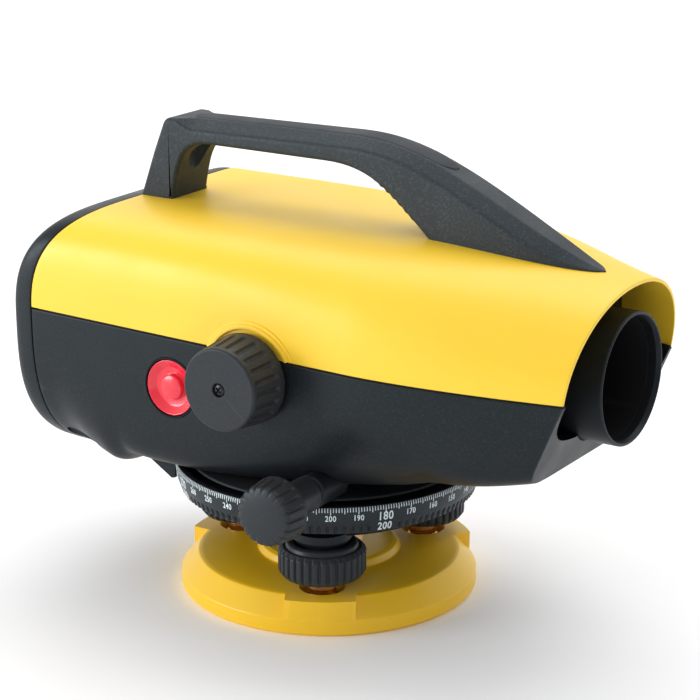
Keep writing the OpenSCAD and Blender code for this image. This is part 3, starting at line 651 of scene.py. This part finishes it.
def shell(side, stations, steps=120):
    loops = []
    for t in np.linspace(math.pi / 2, 0, 5)[:-1]:
        x = stations[0] + EDGE * (1 - math.sin(t))
        loops.append(shell_loop(x, side, EDGE * (1 - math.cos(t)), steps))
    loops += [shell_loop(x, side, 0, steps) for x in stations[1:-1]]
    for t in np.linspace(0, math.pi / 2, 5)[1:]:
        x = stations[-1] - EDGE * (1 - math.sin(t))
        loops.append(shell_loop(x, side, EDGE * (1 - math.cos(t)), steps))
    verts, faces = skin(loops)
    n, m = len(loops[0]), len(loops)
    half = n // 2
    ends = []
    for start in (0, (m - 1) * n):
        ends += [(start + i, start + i + 1, start + n - 2 - i, start + n - 1 - i)
                 for i in range(half - 1)]
    return verts, faces[:-2] + ends


def ladder(a, b, step):
    return list(np.linspace(a, b, max(2, int(round((b - a) / step)) + 1)))


def make_upper_housing():
    obj = mesh_object("upper_housing_finished", shell(1, ladder(REAR_X, NOSE_X, 2.2)))
    finish(obj, "alidade", LOOKS["yellow"], "yellow_plastic", ("upper_housing",), sharp=40)
    rise = split_z(FOCUS_X) + GAP + 0.1 - FOCUS_Z
    bands = []
    for r_in, r_out, face in ((16.3, 17.7, -53.2), (17.4, 18.9, -52.45)):
        start = math.asin(rise / (0.5 * (r_in + r_out)))
        profile = rounded([(r_in, -50.5), (r_in, face, 0.35), (r_out, face, 0.35), (r_out, -50.5)], 4)
        bands.append(skin([[(FOCUS_X + p * math.cos(a), q, FOCUS_Z + p * math.sin(a)) for p, q in profile]
                           for a in np.linspace(start, math.pi - start, 48)]))
    piece("focus_collar", joined(*bands), "alidade", LOOKS["yellow"], "yellow_plastic", sharp=40)


def heel_boss():
    """The wedge under the heel, as a side outline drawn across the body."""
    outline = rounded([(-60.5, 50), (-61.5, 41.9, 0.9), (-50.6, 35.3, 0.9), (-49, 35.7, 0.5),
                       (-48.5, 50)], 5)
    return skin([[(x, y, z) for x, z in outline] for y in (-25, 25)])


def make_lower_housing():
    stations = ladder(REAR_X, -66, 2.2) + ladder(-65, -52, 0.8) + ladder(-50, NOSE_X, 2.2)
    obj = mesh_object("lower_housing_finished", shell(-1, stations, 160))
    boss = mesh_object("boss", heel_boss())
    carve(boss, lathe([(54.6, 30), (54.6, 60)], 160))
    finish(boss, *BLACK, bevel=0.8, segments=4, sharp=40)
    boss.name = "heel_boss"
    y_rod = [placed(lathe([(r, y0), (r, y1)], 64), along_y(x, z)) for r, y0, y1, x, z in (
        (6.2, -60, -25, DRIVE_X, DRIVE_Z), (6.2, 25, 60, DRIVE_X, DRIVE_Z),
        (5.0, -60, -40, FOCUS_X, FOCUS_Z), (10.75, -60, -40, TRIGGER_X, TRIGGER_Z))]
    door = block((DOOR_LO[0] - 0.5, 40, 65.5), (DOOR_HI[0] + 0.5, 60, DOOR_HI[2] + 0.5))
    hub = lathe([(14.5, 38), (14.5, 60)], 64)
    grip = [(0, -84), (3.6, -83.6), (4.5, -82), (4.5, -70), (3.6, -67), (0, -66)]
    scoops = [placed(lathe(grip, 48), along_x(0, side * 43, 49.4)) for side in (-1, 1)]
    carve(obj, joined(*y_rod, door, hub, *scoops))
    carve(obj, block((15, -13, 44), (34, 13, 53)))
    carve(obj, block((DRIVE_X - 2.7, -26, 44), (DRIVE_X + 2.7, 26, 54)))
    finish(obj, *BLACK, ("lower_housing",), sharp=40)


def make_battery_door():
    """The door panel follows the shell; its knuckles turn on the pin below it."""
    lo, hi = DOOR_LO, DOOR_HI
    obj = mesh_object("battery_door_finished", shell(-1, ladder(lo[0] - 4, hi[0] + 4, 2.2), 160))
    carve(obj, block((lo[0], 40, 66), (hi[0], 60, hi[2])), "INTERSECT")
    pin_y, pin_z = hi[1] - 1.6, lo[2] + 1.6
    knuckle = rounded([(0, lo[0] + 5.6), (1.6, lo[0] + 5.6, 0.2), (1.6, hi[0] - 5.6, 0.2),
                       (0, hi[0] - 5.6)], 3)
    arm = block((lo[0] + 7.6, 49.5, 66.1), (hi[0] - 7.6, pin_y, 67.4))
    finish(obj, "door", LOOKS["housing"], "dark_plastic", ("battery_door",), 0.25, 2, sharp=40)
    on_pin = along_x(0, pin_y, pin_z)
    piece("battery_door_knuckle", joined(placed(lathe(knuckle, 32), on_pin), arm), "door",
          LOOKS["housing"], "dark_plastic", bevel=0.15, sharp=40)
    ears = []
    for x in (lo[0] + 1.1, hi[0] - 5.1):
        ring = rounded([(0.85, x), (1.9, x, 0.25), (1.9, x + 4, 0.25), (0.85, x + 4)], 3)
        ears.append(placed(lathe(ring, 32, closed=True), on_pin))
        ears.append(block((x, 48.4, 63.1), (x + 4, pin_y - 0.9, 65.2)))
    piece("battery_door_ears", joined(*ears), *BLACK, sharp=40)


def panel_outline(a, grow=0.0):
    n = 4.5
    r = ((abs(math.cos(a)) / (PANEL_HW + grow)) ** n
         + (abs(math.sin(a)) / (PANEL_HH + grow)) ** n) ** (-1 / n)
    return r * math.cos(a), PANEL_Z + r * math.sin(a)


def smooth_path(points, per_span=6):
    """A Catmull-Rom curve through the points."""
    p = np.array([points[0]] + list(points) + [points[-1]], float)
    out = [p[1]]
    for i in range(1, len(p) - 2):
        for t in np.linspace(0, 1, per_span + 1)[1:]:
            out.append(0.5 * (2 * p[i] + (p[i + 1] - p[i - 1]) * t
                              + (2 * p[i - 1] - 5 * p[i] + 4 * p[i + 1] - p[i + 2]) * t * t
                              + (3 * p[i] - p[i - 1] - 3 * p[i + 1] + p[i + 2]) * t ** 3))
    return out


def cap_ring(blend, back, inset, steps):
    ring = []
    for k in range(steps):
        a = 2 * math.pi * k / steps
        side = 1 if math.sin(a) >= 0 else -1
        y, z = section(REAR_X, abs(a) if side > 0 else 2 * math.pi - a, inset, side)
        z -= side * GAP
        py, pz = panel_outline(a, 0.1)
        lean = end_shift(REAR_X, z) * (1 - blend)
        ring.append((REAR_X + lean - back, mix(y, py, blend), mix(z, pz, blend)))
    return ring


def make_rear_cap():
    steps = 240
    outer = smooth_path([(0, 0.75), (0, 3), (0.025, 6), (0.1, 8.1), (0.25, 9.2), (0.55, 9.6),
                         (0.97, 9.6)])
    rings = [cap_ring(0, 0.3, EDGE, steps), cap_ring(0, 0.45, 0.12, steps)]
    rings += [cap_ring(b, d, 0, steps) for b, d in outer]
    rings += [cap_ring(0.995, 9.5, 0, steps), cap_ring(1, 9.2, 0, steps), cap_ring(1, 7.2, 0, steps)]
    rings += [cap_ring(b, d, WALL, steps) for b, d in
              ((1, 7.2), (0.5, 7), (0.2, 6), (0.05, 4), (0, 0.3))]
    piece("rear_cap_finished", skin(rings, closed=True), *BLACK, ("rear_cap",), sharp=40)


# ---- nose and telescope ----
def nose_opening():
    """The mouth under the hood, drawn across X, that the lower front plate leaves open."""
    arc = [(37 * abs(math.cos(a)) ** (2 / 3) * (1 if math.cos(a) > 0 else -1),
            95 - 18.1 * math.sin(a) ** (2 / 3)) for a in np.linspace(0, math.pi, 65)]
    return skin([[(x, y, z) for y, z in arc + [(-37, 101), (37, 101)]] for x in (94, 124)])


def make_bulkhead():
    plates = []
    for x0, x1, side in ((106.6, 109.2, -1), (88, 90.4, 1)):
        plates.append(skin([[body_point(x, *section(x, a, WALL + 0.1, side))
                             for a in np.linspace(math.radians(1), math.radians(179), 96)]
                            for x in (x0, x1)]))
    bore = placed(lathe([(TUBE_R + 0.35, 80), (TUBE_R + 0.35, 124)], 128), along_x())
    obj = mesh_object("front_bulkhead_finished", joined(*plates))
    carve(obj, bore)
    carve(obj, nose_opening())
    finish(obj, *BLACK, ("front_bulkhead",), 0.25)
    rings = []
    for x, inset in ((NOSE_X - 0.2, 0.1), (NOSE_X + 0.15, 0.1), (NOSE_X + 0.4, 0.45)):
        rings.append([body_point(x, *section(NOSE_X, a, inset, -1))
                      for a in np.linspace(math.radians(0.5), math.radians(179.5), 160)])
    plate = mesh_object("nose_plate", skin(rings))
    carve(plate, bore)
    carve(plate, nose_opening())
    finish(plate, *BLACK, sharp=30)


def make_telescope():
    front = TUBE_FRONT
    profile = rounded([(18.6, 26), (18.6, 60), (20, 60.2), (20.2, front - 5), (20.35, front - 1.6, 0.6),
                       (21, front, 0.5), (TUBE_R, front, 0.7), (TUBE_R, front - 3), (TUBE_R, 100),
                       (TUBE_R, 26)], 5)
    piece("telescope_tube_finished", placed(lathe(profile, 192, closed=True), along_x()), "alidade",
          LOOKS["tube"], "black_anodised", ("telescope_tube",), sharp=38)
    lining = rounded([(20.1, 60.4), (19.8, 60.4), (20.05, front - 4.2), (20.3, front - 3.6, 0.2),
                      (20.3, 61)], 4)
    piece("tube_lining", placed(lathe(lining, 160, closed=True), along_x()), "alidade", LOOKS["baffle"],
          "black_anodised", sharp=38)
    lens_lo, lens_hi = span("objective_lens")
    r = lens_hi[1]
    rim0, rim1 = lens_lo[0] + 2.6, lens_hi[0] - 2.8
    face = [(r * t, rim1 + 2.8 * (1 - t * t)) for t in np.linspace(1, 0, 24)]
    back = [(r * t, rim0 - 2.6 * (1 - t * t)) for t in np.linspace(0, 1, 24)]
    piece("objective_lens_finished", placed(lathe(back + face, 128), along_x()), "alidade",
          LOOKS["glass"], "glass", ("objective_lens",))
    ring = rounded([(17.1, 59.4), (17.1, 61.4, 0.3), (18.55, 61.9, 0.2), (18.55, 59.4)], 4)
    piece("lens_retainer", placed(lathe(ring, 128, closed=True), along_x()), "alidade",
          LOOKS["baffle"], "black_anodised")


# ---- handle ----
HANDLE_HW = 10.4
BROW = [[12, 163], [44, 163.6], [63.5, 147.4], [105.6, 128.6]]
GAP_FRONT = [[46, 132.4], [31, 146], [24, 154.1], [5, 154.1]]
GAP_REAR = [[-42, 154.1], [-55, 154.1], [-56, 147], [-58.8, 132.4]]
TIP_X = 105.6


def handle_outline():
    """Side view as a closed loop of (x, z, top) points; top is 1 where the edge is chamfered."""
    rear = rounded([(-73, 131.9), (-66.8, 149.2, 40), (-61.6, 161.8, 3.6), (12, 163)], 12)
    points = [(x, z, 0.0) for x, z in rear[:-1]]
    for k in range(1, 24):
        x = mix(rear[-2][0], 12, k / 24)
        points.append((x, mix(rear[-2][1], 163, k / 24), smooth(ramp(x, -58, -50))))
    points += [(x, z, 1.0) for x, z in bezier(BROW, 60)]
    for x in np.linspace(TIP_X - 0.6, 46.5, 40):
        points.append((x, top_z(x) - 1.6, 0.0))
    for i, (x, z) in enumerate(bezier(GAP_FRONT, 60)):
        t = i / 60
        bump = 0.45 * smooth(ramp(t, 0.12, 0.2)) * (1 - smooth(ramp(t, 0.5, 0.6)))
        points.append((x, z - bump * math.sin(t * 2 * math.pi * 7.5) ** 2, 0.0))
    points += [(mix(5, -42, k / 24), 154.1, 0.0) for k in range(1, 24)]
    points += [(x, z, 0.0) for x, z in bezier(GAP_REAR, 40)]
    return points


def handle_width(x):
    """Half width in plan: parallel, then a rounded point at the tip."""
    tip = bezier([[TIP_X, 0], [102, 8], [80, 12], [50, 10.4]], 80)
    return float(np.interp(x, tip[::-1, 0], tip[::-1, 1]))


def make_handle():
    outline = np.array(handle_outline())
    xz = outline[:, :2]
    ahead, behind = np.roll(xz, -1, 0), np.roll(xz, 1, 0)
    run = ahead - behind
    run /= np.linalg.norm(run, axis=1)[:, None]
    inward = np.stack([run[:, 1], -run[:, 0]], 1)
    round_edge = rounded([(0, 0.0), (0, HANDLE_HW, 1.5), (4, HANDLE_HW)], 8)
    chamfer = rounded([(0, 0.0), (0, HANDLE_HW - 5.6, 2.2), (3.5, HANDLE_HW, 2.0), (6, HANDLE_HW)], 3)
    rows = [(chamfer[min(i, len(chamfer) - 1)], round_edge[i]) for i in range(1, len(round_edge) - 1)]
    top, soft = outline[:, 2], np.clip((TIP_X - xz[:, 0]) / 14, 0.02, 1)
    rings = []
    for sign in (-1, 1):
        for (cd, cy), (rd, ry) in rows[::sign]:
            d = (top * cd + (1 - top) * rd) * soft
            y = top * cy + (1 - top) * ry
            rings.append(np.stack([xz[:, 0] + inward[:, 0] * d, sign * y, xz[:, 1] + inward[:, 1] * d], 1))
    obj = mesh_object("handle_finished", skin(rings))
    bm = bmesh.new()
    bm.from_mesh(obj.data)
    for x in np.arange(-72, TIP_X, 1.6):
        geometry = list(bm.verts) + list(bm.edges) + list(bm.faces)
        bmesh.ops.bisect_plane(bm, geom=geometry, plane_co=(x * MM, 0, 0), plane_no=(1, 0, 0), dist=1e-7)
    for v in bm.verts:
        v.co.y *= handle_width(v.co.x / MM) / HANDLE_HW
    bm.to_mesh(obj.data)
    bm.free()
    sight = placed(lathe([(5.2 * math.sin(t), -9.5 * math.cos(t)) for t in np.linspace(0.02, 3.12, 24)], 40),
                   Matrix.Translation((-53.6, 0, 149.5)) @ Matrix.Rotation(math.radians(-6), 4, "Y"))
    carve(obj, sight)
    finish(obj, "alidade", LOOKS["handle"], "dark_plastic", ("handle",), sharp=38)


def make_inlay():
    """The soft strip let into the top of the grip."""
    brow = bezier(BROW, 40)[:19]
    line = [(x, mix(161.7, 163, (x + 59.6) / 71.6)) for x in np.linspace(-54, 11, 40)]
    line += [(x, z) for x, z in brow]
    rings = []
    x0, x1 = line[0][0], line[-1][0]
    for x, z in line:
        end = min(1.0, (x - x0) / 2.0 + 0.05, (x1 - x) / 8.0 + 0.03)
        w = 4.45 * math.sqrt(max(0.001, 1 - (1 - end) ** 2))
        profile = [(-w, -1.0), (-w, 0.05), (-w * 0.93, 0.3), (-w * 0.5, 0.42), (0, 0.46), (w * 0.5, 0.42),
                   (w * 0.93, 0.3), (w, 0.05), (w, -1.0)]
        rings.append([(x, y, z + up) for y, up in profile])
    piece("handle_inlay_finished", skin(rings), "alidade", LOOKS["rubber"], "seal_rubber",
          ("handle_inlay",), sharp=40)


# ---- controls ----
def make_focus_knob():
    flutes = 22
    face, back = -FOCUS_FACE, -FOCUS_BACK

    def wave(r, h, angles):
        window = (smooth(ramp(h, back + 3.2, back + 4.4)) * ramp(r, 11.5, 12.8)
                  * (1 - smooth(ramp(h, face - 3.0, face - 1.7))))
        groove = np.clip(np.cos(angles * flutes) * 1.5 - 0.4, 0, 1)
        groove = np.sqrt(groove) * 0.95
        return r - 0.85 * window * groove

    long_side = [(mix(15.5, 14.1, t), mix(back + 1.2, face - 1.6, t)) for t in np.linspace(0, 1, 26)]
    profile = rounded([(3.2, back), (15.2, back, 0.5), long_side[0]], 4) + long_side[1:]
    profile += rounded([long_side[-1], (13.9, face, 0.9), (2.4, face, 0.25), (2.4, face - 1.4),
                        (0, face - 1.4)], 6)[1:]
    axis = along_y(FOCUS_X, FOCUS_Z, -1)
    piece("focus_knob_finished", placed(lathe(profile, flutes * 16, wave), axis),
          "focus_drive", LOOKS["knob"], "knob_plastic", ("focus_knob",), sharp=45)
    screw = rounded([(0, face - 1.5), (1.95, face - 1.5), (1.95, face - 0.55, 0.3), (1.2, face - 0.12),
                     (0, face - 0.1)], 4)
    head = mesh_object("focus_knob_screw_finished", placed(lathe(screw, 48), axis))
    turn = (Matrix.Translation((FOCUS_X, FOCUS_FACE - 0.1, FOCUS_Z))
            @ Matrix.Rotation(math.radians(38), 4, "Y"))
    for w, h in ((1.25, 0.3), (0.3, 1.25)):
        carve(head, placed(block((-w, 0, -h), (w, 1, h)), turn))
    finish(head, "focus_drive", LOOKS["screw"], "steel", ("focus_knob_screw",), 0.05)


def make_drive_knobs():
    flutes, face = 20, DRIVE_FACE

    def wave(r, h, angles):
        window = smooth(ramp(h, face - 9.6, face - 8.6)) * ramp(r, 7.4, 9.2)
        groove = np.sqrt(np.clip(np.cos(angles * flutes) * 1.5 - 0.6, 0, 1))
        return r - 0.62 * window * groove

    side = [(mix(10.9, 10.15, t), mix(face - 10.5, face - 2.6, t)) for t in np.linspace(0, 1, 14)]
    dome = [(r, face - 0.9 * (r / 8.6) ** 2.2) for r in np.linspace(8.6, 0, 12)]
    profile = rounded([(4.4, face - 26.4), (6, face - 26.4, 0.4), (6, face - 14, 0.3),
                       (7.2, face - 13.2, 0.3), (7.2, face - 11.5), (10.2, face - 11.5, 0.5),
                       side[0]], 4)[:-1] + side
    profile += rounded([side[-1], (9.75, face - 1.3, 0.8), dome[0]], 4)[1:-1] + dome
    for sign, name in ((-1, "near"), (1, "far")):
        axis = along_y(DRIVE_X, DRIVE_Z, sign)
        piece(f"drive_knob_{name}", placed(lathe(profile, flutes * 14, wave), axis),
              "side_drive", LOOKS["knob"], "knob_plastic", ("drive_knobs",), sharp=45)


def make_drive_bushes():
    profile = rounded([(4.47, 34), (5.9, 34), (5.9, 48.3, 0.5), (5.2, 49, 0.3), (4.47, 49)], 4)
    solids = [placed(lathe(profile, 72, closed=True), along_y(DRIVE_X, DRIVE_Z, s)) for s in (-1, 1)]
    obj = mesh_object("drive_bushes_finished", joined(*solids))
    carve(obj, block((0, -60, 40), (60, 60, 47.4)))
    finish(obj, *BLACK, ("drive_bushes",), 0.12)


def make_trigger():
    profile = rounded([(0, 46.6), (9.6, 46.6), (9.65, 52.2, 0.25), (9.0, 51.75, 0.5), (6.8, 50.25, 2.0),
                       (4.5, 49.85, 0.3), (4.25, 51.6, 0.55), (2.5, 52.0), (0, 52.15)], 6)
    axis = along_y(TRIGGER_X, TRIGGER_Z, -1)
    piece("trigger_button_finished", placed(lathe(profile, 128), axis),
          "trigger", LOOKS["red"], "red_plastic", ("trigger_button",), sharp=50)
    # painted shade: the bezel is coloured black seal rubber to stand in for the shadow gap round the red
    # button
    bezel = rounded([(9.95, 48.8), (9.95, 52.25, 0.15), (10.65, 52.3, 0.25), (10.65, 48.8)], 4)
    piece("trigger_bezel_finished", placed(lathe(bezel, 128, closed=True), axis),
          "alidade", LOOKS["seal"], "red_plastic", ("trigger_bezel",))


# ---- rear end ----
KEYS = ("key_1", "key_2", "key_3", "key_4")


def make_panel():
    steps = 240
    rings = []
    for inset, x in ((0, PANEL_X + 2.4), (0, PANEL_X + 0.6), (0.18, PANEL_X + 0.18), (0.6, PANEL_X)):
        rings.append([(x, *panel_outline(2 * math.pi * k / steps, -inset)) for k in range(steps)])
    obj = mesh_object("control_panel_finished", skin(rings))
    cutters = [placed(lathe([(13.2, -10), (13.2, 20)], 96), along_x(PANEL_X))]
    for name in KEYS:
        _, y, z = centre(name)
        cutters.append(placed(lathe([(4.75, -10), (4.75, 20)], 48), along_x(PANEL_X, y, z)))
    lo, hi = span("display_window")
    cutters.append(block((PANEL_X - 5, lo[1] - 0.1, lo[2] - 0.1), (PANEL_X + 5, hi[1] + 0.1, hi[2] + 0.1)))
    carve(obj, joined(*cutters))
    finish(obj, "alidade", LOOKS["rubber"], "dark_plastic", ("control_panel",), 0.3)


def make_keys():
    for name, letter in zip(KEYS, "abcd"):
        _, y, z = centre(name)
        face, back = (corner[0] for corner in span(name))
        profile = rounded([(0, back), (5.2, back), (5.2, back - 0.9), (4.4, back - 1.0), (4.4, face, 0.9),
                           (3.0, face + 0.25, 1.0), (0, face + 0.45)], 5)
        piece(f"{name}_finished", placed(lathe(profile, 64), along_x(0, y, z)), f"key_{letter}",
              LOOKS["key"], "knob_plastic", (name,), sharp=50)


def make_eyepiece():
    ribs = 40

    def wave(r, h, angles):
        window = smooth(ramp(h, EYE_X + 3.0, EYE_X + 3.4)) * (1 - smooth(ramp(h, -100.6, -100.2)))
        return r - 0.4 * window * ramp(r, 14, 14.5) * np.clip(np.cos(angles * ribs) * 1.6, 0, 1)

    knurl = [(14.9, x) for x in np.linspace(EYE_X + 2.7, -99.8, 14)]
    profile = rounded([(12.85, -99.5), (12.85, -104.2), (8.2, -104.2, 0.3), (8.2, -105.4),
                       (11.8, EYE_X + 0.1, 0.5), (13.9, EYE_X, 0.8), (15.2, EYE_X + 1.4, 0.5),
                       (14.6, EYE_X + 2.3, 0.2)] + knurl + [(14.7, -99.5)], 4)
    piece("dioptre_ring_finished", placed(lathe(profile, ribs * 8, wave, closed=True), along_x()),
          "dioptre", LOOKS["rubber"], "knob_plastic", ("dioptre_ring",), sharp=45)


READING = "14826"
SEGMENTS = {"1": "bc", "2": "abged", "4": "fgbc", "6": "afgedc", "8": "abcdefg"}
LEVEL_MARK_R = 3.1


def make_display():
    """The liquid crystal face with a made-up staff reading."""
    lo, hi = span("display_window")
    x = hi[0]
    piece("display_face", block((x + 0.1, lo[1] + 0.2, lo[2] + 0.2), (x + 0.5, hi[1] - 0.2, hi[2] - 0.2)),
          "alidade", LOOKS["lcd"], "display", bevel=0.08)
    strokes = []
    h, w, t = 8.4, 4.2, 0.75
    spots = {"a": (0, h, w, t), "d": (0, 0, w, t), "g": (0, h / 2, w, t),
             "b": (w / 2, h * 0.75, t, h / 2), "c": (w / 2, h * 0.25, t, h / 2),
             "f": (-w / 2, h * 0.75, t, h / 2), "e": (-w / 2, h * 0.25, t, h / 2)}
    z0 = lo[2] + 4.6
    for i, digit in enumerate(READING):
        y = 15.5 - i * 7.6 - (1.2 if i else 0)
        for s in SEGMENTS[digit]:
            cy, cz, sy, sz = spots[s]
            sy, sz = max(sy - 0.9, t), max(sz - 0.9, t)
            strokes.append(block((x + 0.02, y - cy - sy / 2, z0 + cz - sz / 2),
                                 (x + 0.12, y - cy + sy / 2, z0 + cz + sz / 2)))
    strokes.append(block((x + 0.02, 10.9, z0 - 0.5), (x + 0.12, 11.9, z0 + 0.5)))
    piece("display_digits", joined(*strokes), "alidade", LOOKS["segment"], "display")


# ---- small fittings ----
def make_level():
    x, y, _ = centre("level_vial")
    (_, wall_y, low), (_, _, top) = span("level_housing")
    upright = Matrix.Translation((x, y, 0))
    cup = rounded([(0, low), (7.6, low, 1.2), (9.6, low + 2.4, 0.8), (9.6, top, 0.7), (8.4, top, 0.3),
                   (7.7, top - 1, 0.2), (7.6, top - 9), (0, top - 9)], 5)
    obj = mesh_object("level_housing_finished", placed(lathe(cup, 96), upright))
    carve(obj, block((x - 6.5, wall_y, low + 0.2), (x + 6.5, y - 7, top - 0.8)), "UNION")
    carve(obj, placed(lathe([(7.6, top - 9), (7.6, top + 3)], 96), upright))
    finish(obj, *BLACK, ("level_housing",), 0.35, 3)
    vlo, vhi = span("level_vial")
    dome = [(7.3 * t, vhi[2] - 0.9 * t * t) for t in np.linspace(1, 0, 14)]
    piece("level_vial_finished", placed(lathe([(0, vlo[2]), (7.3, vlo[2])] + dome, 96), upright),
          "alidade", LOOKS["fluid"], "vial_fluid", ("level_vial",))
    ring = [(LEVEL_MARK_R + dr, vhi[2] + dz) for dr, dz in ((-0.14, -0.3), (-0.14, 0.02), (0.14, 0.02),
                                                            (0.14, -0.3))]
    piece("level_circle", placed(lathe(ring, 64, closed=True), upright), "alidade", LOOKS["seal"],
          "seal_rubber")
    bubble = [(2.3 * math.sin(t), vhi[2] - 1.5 - 0.7 * math.cos(t)) for t in np.linspace(0.01, 3.13, 16)]
    piece("level_bubble", placed(lathe(bubble, 48), Matrix.Translation((x + 0.4, y - 0.3, 0))), "alidade",
          LOOKS["marks"], "vial_fluid")


def dress_cad_nodes():
    """Every CAD node gets its own kind of material; those with a finished piece are hidden anyway."""
    kinds = {
        "brass": "tripod_thread_insert foot_screw_bushes axis_bush",
        "spring_steel": "spring_plate spring_plate_screws",
        "steel": "standing_axis focus_shaft drive_shaft housing_screws",
        "alloy": "worm_wheel chassis compensator_frame compensator_pendulum focus_cell focus_sleeve",
        "seal": "parting_seal", "magnet": "damping_magnet",
        "glass": "beam_splitter reticle focus_lens eyepiece_lens",
        "tube": "eyepiece_mount", "window": "display_window", "board": "circuit_boards",
        "lcd": "display_module", "cell": "battery_cells",
    }
    looks = {node: key for key, names in kinds.items() for node in names.split()}
    for name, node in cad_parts.items():
        node.data.materials.clear()
        node.data.materials.append(LOOKS[looks.get(name, "housing")])


# ---- camera, light and floor ----
CAMERA_PLACE = (0.413951, -0.624057, 0.313682)
CAMERA_AXES = ((0.8388, -0.1591, 0.5207), (0.5445, 0.2451, -0.8022), (0.0, 0.9563, 0.2922))


def make_camera():
    data = bpy.data.cameras.new("camera")
    data.lens, data.sensor_width = 116.1, 36.0
    data.clip_start, data.clip_end = 0.01, 50
    camera = linked("camera", data)
    camera.matrix_world = Matrix.Translation(CAMERA_PLACE) @ Matrix(CAMERA_AXES).to_4x4()
    SCENE.camera = camera


def softbox(name, place, target, size, watts):
    data = bpy.data.lights.new(name, "AREA")
    data.shape, data.size, data.size_y, data.energy = "RECTANGLE", size[0], size[1], watts
    light = linked(name, data)
    light.location = place
    light.rotation_euler = (Vector(target) - Vector(place)).to_track_quat("-Z", "Y").to_euler()


FLOOR_HALF = 9


def make_studio():
    floor = bpy.data.meshes.new("floor")
    f = FLOOR_HALF
    floor.from_pydata([(-f, -f, 0), (f, -f, 0), (f, f, 0), (-f, f, 0)], [], [(0, 1, 2, 3)])
    floor.materials.append(Look("paper", (0.96, 0.96, 0.965), 0.9).mottle(2, 0.01).mat)
    linked("floor", floor)
    make_world()
    softbox("overhead", (-0.3, 0.9, 1.9), (0, 0, 0.1), (2.2, 1.6), 22)
    softbox("near_side", (-1.3, -1.35, 0.42), (0, 0, 0.08), (0.9, 0.75), 20)
    SCENE.view_settings.view_transform = "Standard"


NEAR_SIDE = (0.52, -0.85, 0)


def make_world():
    """A bright sky behind and overhead that darkens towards the horizon on the camera's side."""
    world = bpy.data.worlds.new("studio")
    world.use_nodes = True
    SCENE.world = world
    tree = world.node_tree

    coords = add_node(tree, "ShaderNodeTexCoord").outputs["Generated"]
    split = add_node(tree, "ShaderNodeSeparateXYZ", Vector=coords)
    toward = tree.nodes.new("ShaderNodeVectorMath")
    toward.operation = "DOT_PRODUCT"
    tree.links.new(coords, toward.inputs[0])
    toward.inputs[1].default_value = NEAR_SIDE
    near = add_node(tree, "ShaderNodeMapRange", Value=toward.outputs["Value"], From_Min=-0.2, From_Max=0.5,
                    To_Min=1.1, To_Max=0.5)
    high = add_node(tree, "ShaderNodeMapRange", Value=split.outputs["Z"], From_Min=0.25, From_Max=0.8,
                    To_Min=0.0, To_Max=1.0)
    strength = add_node(tree, "ShaderNodeMix", Factor=high.outputs[0], A=near.outputs[0], B=0.85)
    background = tree.nodes["Background"]
    background.inputs["Color"].default_value = (1, 1, 1, 1)
    tree.links.new(strength.outputs["Result"], background.inputs["Strength"])


for make in (make_camera, make_studio, dress_cad_nodes, make_base_plate, make_feet, make_tribrach,
             make_circle, make_dial_marks, make_flange, make_upper_housing, make_lower_housing,
             make_battery_door, make_rear_cap, make_bulkhead, make_telescope, make_handle, make_inlay,
             make_focus_knob, make_drive_knobs, make_drive_bushes, make_trigger, make_panel, make_keys,
             make_eyepiece, make_display, make_level):
    make()
